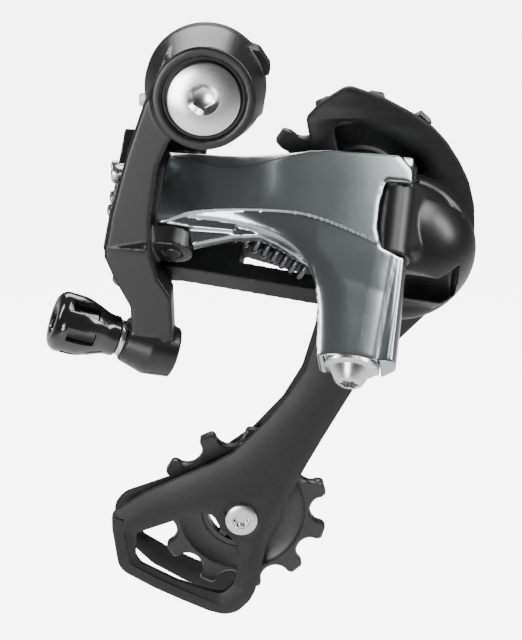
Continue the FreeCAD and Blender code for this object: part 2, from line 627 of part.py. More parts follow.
# The cage's carrier ----------------------------------------------------------------------------
def cage_carrier():
    """The body that hangs on the links' far ends and holds the cage's spring."""
    gap = size("gap")
    second, fourth = PINS["second"], PINS["fourth"]
    low = size("ear_thick") + gap - 3.4 + gap
    high = size("ear_thick") + size("knuckle_height")
    back = -size("drum_back")
    drum = in_row(rod(0, 0, DRUM_FACE, back, size("drum_radius")), on_y(*CAGE_PIVOT, 0))
    drum = edge_round(drum, 3.0, lambda edge: abs(edge.CenterOfMass.y - DRUM_FACE) < 0.01
                      and edge.Length > 90)
    core = in_row(rod(0, 0, DRUM_FACE - 8.5, back, 8.0), on_y(*CAGE_PIVOT, 0))
    slab = in_row(prism([(20, -40), (90, -40), (90, 50), (20, 50)], low, high), PIN_FRAME)
    dome = Part.makeSphere(16.6, Vector(CAGE_PIVOT[0] + 2.2, -6.0, CAGE_PIVOT[1] + 0.6))
    dome = dome.common(slab)
    dome = dome.common(Part.makeBox(80, 60 + back, 120, Vector(0, -60, -100)))
    angle = math.radians(-56)
    trim = prism([second, (second[0] + 60 * math.cos(angle), 60 * math.sin(angle)),
                  (0, -60), (0, 0)], low - 1, high + 1)
    dome = dome.cut(in_row(trim, PIN_FRAME))
    knuckle = rod(*second, low, high, size("carrier_knuckle_radius"))
    knuckle = in_row(knuckle, PIN_FRAME)
    lower = slot(fourth, (fourth[0] + 7, fourth[1] + 4), -7.9, -4.0 - gap, 4.2)
    upper = slot(fourth, (fourth[0] + 6, fourth[1] + 2), 6.6 + gap, 10.2, 4.2)
    lugs = in_row(lower.fuse(upper), PIN_FRAME)
    shape = drum.fuse([core, dome, knuckle, lugs])
    stop = in_row(prism([(-21.5, 6.0), (-16.0, 4.0), (-16.0, 9.0), (-21.0, 9.6)], DRUM_FACE + 1,
                        back), on_y(*CAGE_PIVOT, 0))
    shape = shape.fuse(stop)
    cuts = link_sweep(fourth, 180.0, -4.0 - gap, 6.6 + gap)
    cuts.append(rod(*second, high + 0.01, high + 14, 6.0))
    limb_room = prism([(20, -40), (second[0] + 6.5, -40), (second[0] + 6.5, 4.0),
                       (second[0] + 3.0, 7.2), (20, 7.2)], -40, low - 0.02)
    cuts.append(limb_room)
    cuts.append(rod(*second, low - 1, high + 1, size("pin_radius") + size("seat")))
    cuts.append(rod(*fourth, -12, 16, size("pin_radius") + size("seat")))
    shape = shape.cut([in_row(cut, PIN_FRAME) for cut in cuts])
    cavity = in_row(rod(0, 0, back - size("drum_cavity_depth"), back + 5,
                        size("drum_cavity_radius")), on_y(*CAGE_PIVOT, 0))
    bore = in_row(rod(0, 0, -size("cage_axle_reach") - 0.6, 10,
                      size("cage_axle_radius") + size("running") + size("bush_wall")),
                  on_y(*CAGE_PIVOT, 0))
    shape = shape.cut([cavity, bore])
    solids = sorted(shape.Solids, key=lambda solid: solid.Volume)
    plain("cage_carrier", solids[-1])


def carrier_inside():
    inner = size("cage_axle_radius") + size("running")
    outer = inner + size("bush_wall") - size("seat")
    back = -size("drum_back") - size("drum_cavity_depth")
    turned("cage_pivot_bush", [(inner, -size("cage_axle_reach") - 0.3),
                               (outer, -size("cage_axle_reach") - 0.3), (outer, back + 0.4),
                               (inner, back + 0.4)], on_y(*CAGE_PIVOT, 0))
    wire = size("p_spring_wire")
    spring = coil(size("p_spring_radius"), wire, wire + 0.25, 1.6,
                  on_y(*CAGE_PIVOT, back + wire / 2 + 0.25))
    plain("cage_spring", spring)
    seal_inner, seal_outer = size("drum_cavity_radius") + 0.6, size("drum_cavity_radius") + 2.2
    turned("cage_seal_ring", [(seal_inner, -size("drum_back")), (seal_outer, -size("drum_back")),
                              (seal_outer, CAGE_FRONT - 0.5), (seal_inner, CAGE_FRONT - 0.5)],
           on_y(*CAGE_PIVOT, 0))


# The cage --------------------------------------------------------------------------------------
ARM_RIGHT = [(33.8, -88.7), (29.1, -97.0), (24.8, -104.9), (20.9, -112.9), (17.4, -119.8),
             (15.0, -126.3), (13.2, -134.5), (12.0, -140.0), (10.4, -143.3), (7.0, -146.7),
             (3.5, -147.5), (-0.6, -146.4), (-7.5, -143.3), (-15.5, -139.4), (-24.9, -133.9),
             (-26.5, -121.9), (-26.5, -118.2), (-25.7, -117.1), (-18.0, -112.1), (-10.0, -108.3),
             (-0.2, -103.8), (5.7, -100.7), (11.1, -95.4), (16.4, -89.7), (20.7, -84.0),
             (25.5, -76.8), (29.0, -66.0), (30.4, -55.0), (30.0, -46.0)]
GUARD = [(28.6, -32.0), (27.0, -22.0), (25.0, -12.3), (24.7, -10.2), (28.3, -6.3), (34.1, -2.6),
         (35.9, -2.3), (43.9, -5.1), (51.7, -9.3), (56.7, -12.7), (60.3, -16.6), (63.6, -21.7),
         (65.9, -26.4), (67.4, -32.5), (67.7, -38.4), (67.6, -45.5), (65.8, -51.5), (62.2, -56.6),
         (57.4, -60.0), (51.5, -66.0), (43.5, -74.0), (38.6, -80.4)]
WINDOW = [(-20.2, -123.6), (-18.7, -122.8), (-5.2, -118.0), (-2.3, -117.1), (0.7, -118.2),
          (2.6, -121.9), (7.0, -126.3), (7.5, -128.5), (7.0, -134.5), (6.0, -138.3),
          (3.0, -141.4), (-0.5, -140.5), (-9.5, -137.3), (-18.9, -132.3), (-20.3, -130.1)]
GUARD_WINDOW = [(33.2, -20.5), (31.7, -13.8), (32.1, -11.6), (33.9, -10.7), (39.2, -11.8),
                (46.2, -15.4), (52.7, -19.9), (55.2, -23.1), (54.9, -25.3), (51.0, -25.0),
                (44.0, -22.2), (38.8, -21.0)]


def lowered(points):
    """Row-frame (x, z) as the local coordinates of a sketch that looks along +Y."""
    return [(x, -z) for x, z in points]


def outer_plate():
    body = new_body("outer_cage_plate", on_y(0, 0, CAGE_FRONT))
    pad(body, "outer_plate_pad", lowered(ARM_RIGHT + GUARD), 0.0, "outer_plate_thick")
    cut_through(body, "cage_window", lowered(WINDOW), 0.0)
    cut_through(body, "guard_window", lowered(GUARD_WINDOW), 0.0)
    hole(body, "cage_axle_hole", lowered([CAGE_PIVOT])[0], "sizes.cage_axle_radius - 1 + sizes.seat")
    hole(body, "guide_bolt_hole", lowered([GUIDE_CENTRE])[0],
         "sizes.pulley_bolt_radius + sizes.seat")
    hole(body, "tension_bolt_hole", lowered([TENSION_CENTRE])[0],
         "sizes.pulley_bolt_radius + sizes.seat")
    sketch = new_sketch(body, "bolt_seat_circle", "XY_Plane", 0.0)
    x, y = lowered([TENSION_CENTRE])[0]
    sketch.addGeometry(Part.Circle(Vector(x, y, 0), Z_AXIS, size("bolt_head_radius") + 0.5),
                       False)
    seat = body.newObject("PartDesign::Pocket", "bolt_seat")
    seat.Profile = sketch
    seat.Length = 1.0
    seat.Reversed = True
    doc.recompute()


INNER_PLATE = [(33.0, -88.7), (28.6, -97.0), (24.4, -104.9), (20.5, -112.9), (17.0, -119.8),
               (14.6, -126.3), (13.2, -134.5), (11.4, -141.5), (7.0, -146.0), (2.0, -146.9),
               (-7.5, -143.3), (-16.5, -138.0), (-23.0, -131.5), (-26.6, -124.0),
               (-26.7, -120.0), (-23.8, -116.6), (-10.9, -111.9), (-1.8, -107.2),
               (11.5, -97.4), (19.4, -88.7), (24.5, -80.0), (28.0, -68.0), (29.0, -56.0),
               (29.0, -42.0), (27.5, -33.0), (30.0, -24.0), (36.0, -19.5), (44.0, -20.0),
               (52.0, -25.0), (57.5, -33.0), (58.5, -43.0), (56.0, -53.0), (50.0, -63.0),
               (43.5, -73.0), (38.0, -80.4)]
INNER_WINDOW = [(-20.5, -125.5), (-18.0, -121.0), (-8.0, -117.0), (-2.5, -116.0),
                (0.5, -118.0), (2.6, -124.0), (4.5, -128.0), (4.5, -134.0), (2.0, -138.4),
                (-4.0, -137.5), (-12.0, -133.5), (-19.0, -129.0)]


def inner_plate():
    body = new_body("inner_cage_plate", on_y(0, 0, INNER_FRONT))
    pad(body, "inner_plate_pad", lowered(INNER_PLATE), 0.0, "inner_plate_thick")
    cut_through(body, "inner_window", lowered(INNER_WINDOW), 0.0)
    for name, centre in (("guide", GUIDE_CENTRE), ("tension", TENSION_CENTRE)):
        hole(body, name + "_inner_hole", lowered([centre])[0],
             "sizes.pulley_bolt_radius + sizes.seat")


def pulley_set(name, centre, tip_alias, first_tooth, head_front):
    """A pulley, its bearing bush, two dust caps and its bolt."""
    pulley(f"{name}_pulley", centre, tip_alias, first_tooth)
    bolt, bush = size("pulley_bolt_radius"), size("pulley_bush_radius")
    half, slack = size("plate_gap") / 2, 0.1
    turned(f"{name}_bush", [(bolt + size("seat"), -half + slack), (bush, -half + slack),
                            (bush, half - slack), (bolt + size("seat"), half - slack)],
           on_y(*centre, PULLEY_MID))
    cap_in = bush + size("seat")
    near, far = size("pulley_thick") / 2 + 0.4, half - slack
    for side, sign in (("outer", -1), ("inner", 1)):
        turned(f"{name}_{side}_dust_cap",
               [(cap_in, sign * near), (size("dust_cap_radius"), sign * near),
                (size("dust_cap_radius"), sign * (near + 1.2)), (bush + 1.0, sign * far),
                (cap_in, sign * far)], on_y(*centre, PULLEY_MID))
    head, thick = size("bolt_head_radius"), size("bolt_head_thick")
    if head_front:
        seat, end = CAGE_FRONT + 1.0, INNER_BACK
        place = on_y(*centre, seat)
    else:
        seat, end = INNER_BACK, CAGE_FRONT
        x, z = centre
        place = Placement(Vector(x, seat, z), Rotation(X_AXIS, Z_AXIS, Vector(0, -1, 0), "XYZ"))
    length = abs(end - seat)
    body = turned(f"{name}_pulley_bolt", [(0, -thick), (head - 0.4, -thick),
                                          (head, -thick + 0.4), (head, 0), (bolt, 0),
                                          (bolt, length), (0, length)], place)
    socket(body, f"{name}_bolt_socket", 3.0, 1.7, -thick)


def cage_fittings():
    axle = size("cage_axle_radius")
    reach = -size("cage_axle_reach")
    flange_front = 0.2
    turned("cage_axle", [(0, reach), (axle - 0.5, reach), (axle, reach + 0.5),
                         (axle, flange_front), (7.0, flange_front), (7.0, CAGE_FRONT),
                         (axle - 1, CAGE_FRONT), (axle - 1, PLATE_BACK), (0, PLATE_BACK)],
           on_y(*CAGE_PIVOT, 0))
    stop_radius, angle = size("drum_radius") + 2.2, math.radians(-148)
    x = CAGE_PIVOT[0] + stop_radius * math.cos(angle)
    z = CAGE_PIVOT[1] + stop_radius * math.sin(angle)
    turned("cage_stop_pin", [(0, -4.5), (1.5, -4.5), (1.5, CAGE_FRONT), (0, CAGE_FRONT)],
           on_y(x, z, 0))


# Cable parts -----------------------------------------------------------------------------------
def cable_parts():
    drop = size("limb_drop")
    flange, bolt = size("clamp_flange_radius"), size("clamp_bolt_radius")
    seat = -drop + 3.2
    plate = size("clamp_plate_thick")
    washer_place = PIN_FRAME.multiply(Placement(Vector(CLAMP_U, 0, 0), Rotation()))
    washer = prism([(-6.2, -4.2), (6.2, -4.2), (6.2, 5.8), (-6.2, 5.8)], seat - plate, seat)
    groove = Part.makeCylinder(0.7, 30, Vector(-15, bolt + 1.4, seat), X_AXIS)
    washer = washer.cut([rod(0, 0, seat - plate - 1, seat + 1, bolt + size("running")), groove])
    plain("cable_clamp_plate", washer, washer_place)
    head_top = seat - plate - 0.1
    face = head_top - size("clamp_head_height")
    body = turned("cable_clamp_bolt",
                  [(0, face), (3.2, face), (3.9, face + 0.7), (5.1, head_top - 1.4),
                   (flange, head_top - 1.1), (flange, head_top), (bolt, head_top),
                   (bolt, seat + 7.4), (0, seat + 7.4)], washer_place)
    socket(body, "clamp_socket", 4.0, 2.4, face)
    place = along(ADJUSTER_SEAT, ADJUSTER_AXIS)
    length, radius, waist = (size("adjuster_length"), size("adjuster_radius"),
                             size("adjuster_waist"))
    bolt_radius, bore = size("adjuster_bolt_radius"), size("cable_bore_radius")
    collar_thick = 1.6
    mouth = length - size("housing_depth")
    bolt_end = mouth - 1.6
    turned("adjuster_bolt", [(bore, -size("knuckle_length") + 0.6),
                             (bolt_radius, -size("knuckle_length") + 0.6),
                             (bolt_radius, bolt_end), (bore, bolt_end)], place)
    turned("adjuster_collar", [(bolt_radius + size("running"), 0.1),
                               (waist - 0.7, 0.1), (waist - 0.7, collar_thick),
                               (bolt_radius + size("running"), collar_thick)], place)
    inner = bolt_radius + size("seat")
    start = collar_thick + 0.25
    housing, end = size("housing_radius"), length
    body = turned("adjuster_barrel",
                  [(inner, start), (waist, start), (waist + 0.1, KNOB_SWELL),
                   (waist + 0.9, KNOB_SWELL + 2), (radius - 0.1, KNOB_FULL), (radius, 12.5),
                   (radius, end - 1.3), (radius - 1.6, end), (housing, end), (housing, mouth),
                   (bore, mouth), (bore, bolt_end + 0.2), (inner, bolt_end + 0.2)], place)
    notch = new_sketch(body, "knob_flat_outline", "XY_Plane", KNOB_SWELL + 2)
    depth, reach, side = radius - 1.1, radius + 2, radius * 0.7
    draw_polygon(notch, [(depth, -side), (reach, -side), (reach, side), (depth, side)])
    flute = body.newObject("PartDesign::Pocket", "knob_flat")
    flute.Profile = notch
    flute.Length = end
    flute.Reversed = True
    doc.recompute()
    around = body.newObject("PartDesign::PolarPattern", "knob_flats")
    around.Originals = [flute]
    around.Axis = (notch, ["N_Axis"])
    around.Angle = 360
    around.Occurrences = 6
    body.Tip = around
    doc.recompute()


def check_and_export():
    doc.recompute()
    for item in doc.Objects:
        if any(flag in item.State for flag in ("Invalid", "Error")):
            raise RuntimeError(f"{item.Label} failed: {item.State}")
    os.makedirs("parts", exist_ok=True)
    for piece in PARTS:
        if piece.Shape.isNull() or not piece.Shape.isValid():
            raise RuntimeError(f"{piece.Label} has no valid shape")
        if len(piece.Shape.Solids) != 1:
            print("solids", piece.Label, [round(s.Volume, 1) for s in piece.Shape.Solids])
    for piece in PARTS:
        piece.Shape.exportStep(f"parts/{piece.Label}.step")
    print(len(PARTS), "pieces")


place_screws()
fixed_end()
bracket_body()
screws()
bracket_inside()
outer_link()
inner_link()
link_pins()
return_spring()
cage_carrier()
carrier_inside()
outer_plate()
inner_plate()
pulley_set("guide", GUIDE_CENTRE, "guide_tip_radius", 17.3, False)
pulley_set("tension", TENSION_CENTRE, "tension_tip_radius", 16.8, True)
cage_fittings()
cable_parts()
check_and_export()
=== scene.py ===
"""The looks of a rear bicycle derailleur, laid out as an add-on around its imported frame.

Pieces are drawn in millimetres in a frame of their own and then set in their place, so a
finished piece's object sits at the origin and its place is in its mesh.
"""
import json
import math

import bmesh
import bpy
import numpy as np
from bpy.props import FloatProperty, FloatVectorProperty, IntProperty, PointerProperty
from mathutils import Matrix, Vector


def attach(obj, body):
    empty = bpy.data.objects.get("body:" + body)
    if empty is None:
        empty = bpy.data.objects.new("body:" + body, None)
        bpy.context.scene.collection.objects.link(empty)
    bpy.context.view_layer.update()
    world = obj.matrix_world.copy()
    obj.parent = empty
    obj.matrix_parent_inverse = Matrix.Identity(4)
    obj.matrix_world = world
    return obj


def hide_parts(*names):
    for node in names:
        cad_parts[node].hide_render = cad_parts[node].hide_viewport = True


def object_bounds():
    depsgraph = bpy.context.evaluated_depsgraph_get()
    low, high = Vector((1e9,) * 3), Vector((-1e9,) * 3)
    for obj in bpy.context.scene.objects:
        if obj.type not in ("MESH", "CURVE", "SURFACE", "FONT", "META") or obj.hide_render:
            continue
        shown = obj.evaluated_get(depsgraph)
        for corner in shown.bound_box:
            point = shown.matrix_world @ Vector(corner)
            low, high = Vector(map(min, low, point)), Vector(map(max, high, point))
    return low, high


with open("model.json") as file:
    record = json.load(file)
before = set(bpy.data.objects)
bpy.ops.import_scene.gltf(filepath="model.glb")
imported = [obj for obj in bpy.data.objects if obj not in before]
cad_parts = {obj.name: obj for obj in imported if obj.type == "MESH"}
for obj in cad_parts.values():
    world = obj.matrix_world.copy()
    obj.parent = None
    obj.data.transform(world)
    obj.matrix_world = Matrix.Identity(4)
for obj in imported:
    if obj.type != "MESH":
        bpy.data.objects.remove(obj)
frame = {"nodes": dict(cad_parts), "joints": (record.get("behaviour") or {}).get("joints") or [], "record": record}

bl_info = {
    "name": "Rear Derailleur",
    "version": (1, 0, 0),
    "blender": (4, 5, 0),
    "location": "3D View > Sidebar > Derailleur",
    "description": "Adds the finished pieces of a rear bicycle derailleur",
    "category": "Add Mesh",
}

CAD_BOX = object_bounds()
MM = 0.001
JOINTS = {joint["name"]: joint for joint in frame["joints"]}


# Places ----------------------------------------------------------------------------------------
def placed(origin, x_axis, z_axis):
    """The matrix from a piece's own millimetres to the row frame in metres."""
    z = Vector(z_axis).normalized()
    x = Vector(x_axis)
    x = (x - z * x.dot(z)).normalized()
    turn = Matrix((x, z.cross(x), z)).transposed().to_4x4()
    return Matrix.Translation(origin) @ turn @ Matrix.Scale(MM, 4)


FIRST_PIN = Vector(JOINTS["link_swing"]["pos_m"])
SECOND_PIN = Vector(JOINTS["carrier_counter_swing"]["pos_m"])
PIN_AXIS = Vector(JOINTS["link_swing"]["axis"])
PINS = placed(FIRST_PIN, SECOND_PIN - FIRST_PIN, PIN_AXIS)
# the outer link's face: x along the link, y up along the pins, z out of the face
LINK_FACE = placed(FIRST_PIN, SECOND_PIN - FIRST_PIN,
                   PIN_AXIS.cross(SECOND_PIN - FIRST_PIN) * -1)
# the object's outer side: x forward, y up, z out towards the rider's eye
SIDE = placed((0, 0, 0), (1, 0, 0), (0, -1, 0))
OUT = Vector((0, -1, 0))


def side_at(point, out=0.0):
    """The outer side's frame, moved to a point of the row frame in metres."""
    return placed(Vector((point[0], -out * MM, point[2])), (1, 0, 0), OUT)


CAGE_PIVOT = Vector(JOINTS["cage_swing"]["pos_m"])
GUIDE = Vector(JOINTS["guide_pulley_spin"]["pos_m"])
TENSION = Vector(JOINTS["tension_pulley_spin"]["pos_m"])
LINK_LENGTH = (SECOND_PIN - FIRST_PIN).length / MM


# Drawing ---------------------------------------------------------------------------------------
def rounded(points, radius, steps=5):
    """A closed outline whose corners are arcs, each as large as its two runs allow."""
    corners = [Vector(p) for p in points]
    drawn = []
    for i, corner in enumerate(corners):
        back = corners[i - 1] - corner
        on = corners[(i + 1) % len(corners)] - corner
        bend = math.pi - back.angle(on)
        if bend < 0.02:
            drawn.append(corner.copy())
            continue
        reach = min(radius * math.tan(bend / 2), 0.48 * min(back.length, on.length))
        start = corner + back.normalized() * reach
        end = corner + on.normalized() * reach
        for k in range(steps + 1):
            t = k / steps
            drawn.append(start * (1 - t) ** 2 + corner * (2 * t * (1 - t)) + end * t ** 2)
    return drawn


def closed_mesh(shape):
    bmesh.ops.recalc_face_normals(shape, faces=shape.faces)
    return shape


def prism(outline, low, high):
    """An outline in the local XY plane made solid."""
    shape = bmesh.new()
    lower = [shape.verts.new((p[0], p[1], low)) for p in outline]
    upper = [shape.verts.new((p[0], p[1], high)) for p in outline]
    shape.faces.new(lower[::-1])
    shape.faces.new(upper)
    count = len(outline)
    for i in range(count):
        j = (i + 1) % count
        shape.faces.new((lower[i], lower[j], upper[j], upper[i]))
    return closed_mesh(shape)


def turned(profile, steps=64):
    """A closed profile of (radius, height) swept once round the local Z axis."""
    shape = bmesh.new()
    rings = []
    for radius, height in profile:
        if radius < 1e-6:
            rings.append([shape.verts.new((0, 0, height))] * steps)
        else:
            rings.append([shape.verts.new((radius * math.cos(2 * math.pi * i / steps),
                                           radius * math.sin(2 * math.pi * i / steps), height))
                          for i in range(steps)])
    for low, high in zip(rings, rings[1:] + rings[:1]):
        for i in range(steps):
            j = (i + 1) % steps
            corners = list(dict.fromkeys((low[i], low[j], high[j], high[i])))
            if len(corners) > 2:
                shape.faces.new(corners)
    return closed_mesh(shape)


def rod(start, end, radius, steps=40):
    """A plain round bar between two points, used to build up or cut a piece."""
    start, end = Vector(start), Vector(end)
    length = (end - start).length
    shape = turned([(0, 0), (radius, 0), (radius, length), (0, length)], steps)
    aim = (end - start).to_track_quat("Z", "Y").to_matrix().to_4x4()
    shape.transform(Matrix.Translation(start) @ aim)
    return shape


def block(low, high):
    """A rectangular stretch between two corners, used to build up or cut a piece."""
    (x1, y1, z1), (x2, y2, z2) = low, high
    return prism([(x1, y1), (x2, y1), (x2, y2), (x1, y2)], z1, z2)


def cad_shape(node, target):
    """A node's own shape, its loose triangles joined, in a place's millimetres."""
    shape = bmesh.new()
    shape.from_mesh(frame["nodes"][node].data)
    shape.transform(target.inverted())
    bmesh.ops.remove_doubles(shape, verts=shape.verts, dist=1e-4)
    return shape


def mesh_of(shapes):
    """One mesh from one or more shapes."""
    mesh = bpy.data.meshes.new("drawing")
    whole = bmesh.new()
    for shape in shapes:
        part = bpy.data.meshes.new("part")
        shape.to_mesh(part)
        whole.from_mesh(part)
        bpy.data.meshes.remove(part)
    whole.to_mesh(mesh)
    whole.free()
    return mesh


def worked(mesh, prepare):
    """A mesh after its modifiers: prepare adds them to a scratch object that then goes."""
    scratch = bpy.data.objects.new("scratch", mesh)
    bpy.context.scene.collection.objects.link(scratch)
    helpers = prepare(scratch) or []
    bpy.context.view_layer.update()
    result = bpy.data.meshes.new_from_object(
        scratch.evaluated_get(bpy.context.evaluated_depsgraph_get()))
    for item in [scratch, *helpers]:
        bpy.data.objects.remove(item)
    return result


def cut(solids, cutters):
    """Joined solids less joined cutters."""
    def prepare(scratch):
        cutter = bpy.data.objects.new("cutter", mesh_of(cutters))
        bpy.context.scene.collection.objects.link(cutter)
        step = scratch.modifiers.new("cut", "BOOLEAN")
        step.operation = "DIFFERENCE"
        step.solver = "EXACT"
        step.use_self = True
        step.object = cutter
        return [cutter]
    return worked(mesh_of(solids), prepare)


def cast(solids, cutters, voxel, smooth):
    """Solids melted into one skin with soft edges, as a forged or moulded piece has."""
    mesh = cut(solids, cutters) if cutters else mesh_of(solids)

    def prepare(scratch):
        skin = scratch.modifiers.new("skin", "REMESH")
        skin.mode = "VOXEL"
        skin.voxel_size = voxel
        soft = scratch.modifiers.new("soft", "SMOOTH")
        soft.factor = 0.5
        soft.iterations = smooth
    return worked(mesh, prepare)


def plate(outline, holes, thick, front_width, front_drop):
    """A flat plate with rounded holes, its edges bevelled, its back at height 0."""
    back_width, radius = 0.3, 6.0
    drawn_already = 60      # an outline with this many points is a circle and stays as it is
    curve = bpy.data.curves.new("plate", "CURVE")
    curve.dimensions = "2D"
    curve.fill_mode = "BOTH"
    curve.extrude = 1.0
    curve.bevel_resolution = 0
    for k, loop in enumerate([outline, *holes]):
        points = loop
        if len(loop) < drawn_already:
            points = rounded(loop, radius if k == 0 else radius * 0.5)
        spline = curve.splines.new("POLY")
        spline.points.add(len(points) - 1)
        for point, place in zip(spline.points, points):
            point.co = (place[0], place[1], 0.0, 1.0)
        spline.use_cyclic_u = True
    curve.offset = -front_width
    curve.bevel_depth = front_width

    holder = bpy.data.objects.new("plate", curve)
    bpy.context.scene.collection.objects.link(holder)
    bpy.context.view_layer.update()
    mesh = bpy.data.meshes.new_from_object(
        holder.evaluated_get(bpy.context.evaluated_depsgraph_get()))
    bpy.data.objects.remove(holder)
    # the curve's straight wall runs from -1 to 1: what lies past it is bevel
    flat = thick - front_drop - back_width
    for vertex in mesh.vertices:
        z = vertex.co.z
        if z > 1.001:
            vertex.co.z = back_width + flat + (z - 1.0) / front_width * front_drop
        elif z < -1.001:
            vertex.co.z = 0.0
        else:
            vertex.co.z = back_width + flat * (z + 1.0) / 2.0
    shape = bmesh.new()
    shape.from_mesh(mesh)
    bmesh.ops.remove_doubles(shape, verts=shape.verts, dist=1e-4)
    return closed_mesh(shape)


def circle(centre, radius, steps=64):
    return [Vector((centre[0] + radius * math.cos(2 * math.pi * i / steps),
                    centre[1] + radius * math.sin(2 * math.pi * i / steps)))
            for i in range(steps)]


# Geometry node trees ---------------------------------------------------------------------------
def new_tree(name, inputs):
    tree = bpy.data.node_groups.new(name, "GeometryNodeTree")
    tree.interface.new_socket("Geometry", in_out="INPUT", socket_type="NodeSocketGeometry")
    for label, kind, value in inputs:
        item = tree.interface.new_socket(label, in_out="INPUT", socket_type=kind)
        if value is not None:
            item.default_value = value
    tree.interface.new_socket("Geometry", in_out="OUTPUT", socket_type="NodeSocketGeometry")
    return tree


def add_node(tree, kind, **values):
    node = tree.nodes.new(kind)
    for key, value in values.items():
        setattr(node, key, value)
    return node


def finish_tree(tree, result, source):
    """Realize the instances, join what meets, and give the material."""
    real = add_node(tree, "GeometryNodeRealizeInstances")
    weld = add_node(tree, "GeometryNodeMergeByDistance")
    weld.inputs["Distance"].default_value = 1e-3
    paint = add_node(tree, "GeometryNodeSetMaterial")
    end = add_node(tree, "NodeGroupOutput")
    link = tree.links.new
    link(result, real.inputs[0])
    link(real.outputs[0], weld.inputs["Geometry"])
    link(weld.outputs["Geometry"], paint.inputs["Geometry"])
    link(source.outputs["Material"], paint.inputs["Material"])
    link(paint.outputs["Geometry"], end.inputs[0])


def ring_tree():
    """Repeats what it is given round the local Z axis."""
    tree = new_tree("Ring of like parts", [("Count", "NodeSocketInt", 11),
                                           ("First Turn", "NodeSocketFloat", 0.0),
                                           ("Material", "NodeSocketMaterial", None)])
    source = add_node(tree, "NodeGroupInput")
    line = add_node(tree, "GeometryNodeMeshLine")
    line.inputs["Offset"].default_value = (0, 0, 0)
    index = add_node(tree, "GeometryNodeInputIndex")
    share = add_node(tree, "ShaderNodeMath", operation="DIVIDE")
    turn = add_node(tree, "ShaderNodeMath", operation="MULTIPLY_ADD")
    turn.inputs[1].default_value = 2 * math.pi
    spin = add_node(tree, "ShaderNodeCombineXYZ")
    points = add_node(tree, "GeometryNodeInstanceOnPoints")
    link = tree.links.new
    link(source.outputs["Count"], line.inputs["Count"])
    link(index.outputs[0], share.inputs[0])
    link(source.outputs["Count"], share.inputs[1])
    link(share.outputs[0], turn.inputs[0])
    link(source.outputs["First Turn"], turn.inputs[2])
    link(turn.outputs[0], spin.inputs["Z"])
    link(line.outputs["Mesh"], points.inputs["Points"])
    link(source.outputs["Geometry"], points.inputs["Instance"])
    link(spin.outputs[0], points.inputs["Rotation"])
    finish_tree(tree, points.outputs["Instances"], source)
    return tree


def coil_tree():
    """A round wire wound along the local Z axis."""
    tree = new_tree("Wound wire", [("Coil Radius", "NodeSocketFloat", 5.0),
                                   ("Wire Radius", "NodeSocketFloat", 0.5),
                                   ("Height", "NodeSocketFloat", 10.0),
                                   ("Turns", "NodeSocketFloat", 5.0),
                                   ("Material", "NodeSocketMaterial", None)])
    source = add_node(tree, "NodeGroupInput")
    spiral = add_node(tree, "GeometryNodeCurveSpiral")
    spiral.inputs["Resolution"].default_value = 40
    section = add_node(tree, "GeometryNodeCurvePrimitiveCircle")
    section.inputs["Resolution"].default_value = 14
    wire = add_node(tree, "GeometryNodeCurveToMesh")
    wire.inputs["Fill Caps"].default_value = True
    link = tree.links.new
    link(source.outputs["Turns"], spiral.inputs["Rotations"])
    link(source.outputs["Coil Radius"], spiral.inputs["Start Radius"])
    link(source.outputs["Coil Radius"], spiral.inputs["End Radius"])
    link(source.outputs["Height"], spiral.inputs["Height"])
    link(source.outputs["Wire Radius"], section.inputs["Radius"])
    link(spiral.outputs[0], wire.inputs["Curve"])
    link(section.outputs["Curve"], wire.inputs["Profile Curve"])
    finish_tree(tree, wire.outputs["Mesh"], source)
    return tree


def grown(tree, mesh, **values):
    """The plain mesh that a tree makes from a mesh and its named inputs."""
    def prepare(scratch):
        step = scratch.modifiers.new("grow", "NODES")
        step.node_group = tree
        for item in tree.interface.items_tree:
            key = item.name.replace(" ", "_").lower()
            if item.in_out == "INPUT" and key in values:
                step[item.identifier] = values[key]
    return worked(mesh, prepare)


def shape_of(mesh):
    shape = bmesh.new()
    shape.from_mesh(mesh)
    return closed_mesh(shape)


def ring_of(shape, count, first_turn=0.0, material=None):
    return shape_of(grown(TREES["ring"], mesh_of([shape]), count=count,
                          first_turn=first_turn, material=material))


def coil(radius, wire, height, turns, material=None):
    return shape_of(grown(TREES["coil"], mesh_of([]), coil_radius=radius, wire_radius=wire,
                          height=height, turns=turns, material=material))


TREES = {"ring": ring_tree(), "coil": coil_tree()}


# Shader groups ---------------------------------------------------------------------------------
def shader_group(name, inputs, outputs):
    group = bpy.data.node_groups.new(name, "ShaderNodeTree")
    for label, kind, value in inputs:
        item = group.interface.new_socket(label, in_out="INPUT", socket_type=kind)
        item.default_value = value
    for label, kind in outputs:
        group.interface.new_socket(label, in_out="OUTPUT", socket_type=kind)
    return group, add_node(group, "NodeGroupInput"), add_node(group, "NodeGroupOutput")


def grain_group():
    """Fine and broad unevenness: a grain's height and a tone for colour and gloss."""
    group, source, end = shader_group(
        "Surface grain", [("Scale", "NodeSocketFloat", 2500.0),
                          ("Broad", "NodeSocketFloat", 60.0)],
        [("Height", "NodeSocketFloat"), ("Fine", "NodeSocketFloat"), ("Tone", "NodeSocketFloat")])
    where = add_node(group, "ShaderNodeTexCoord")
    link = group.links.new
    fine = add_node(group, "ShaderNodeTexNoise")
    fine.inputs["Detail"].default_value = 3.0
    broad = add_node(group, "ShaderNodeTexNoise")
    broad.inputs["Detail"].default_value = 4.0
    for texture, socket in ((fine, "Scale"), (broad, "Broad")):
        link(where.outputs["Object"], texture.inputs["Vector"])
        link(source.outputs[socket], texture.inputs["Scale"])
    link(fine.outputs["Fac"], end.inputs["Height"])
    link(fine.outputs["Fac"], end.inputs["Fine"])
    link(broad.outputs["Fac"], end.inputs["Tone"])
    return group


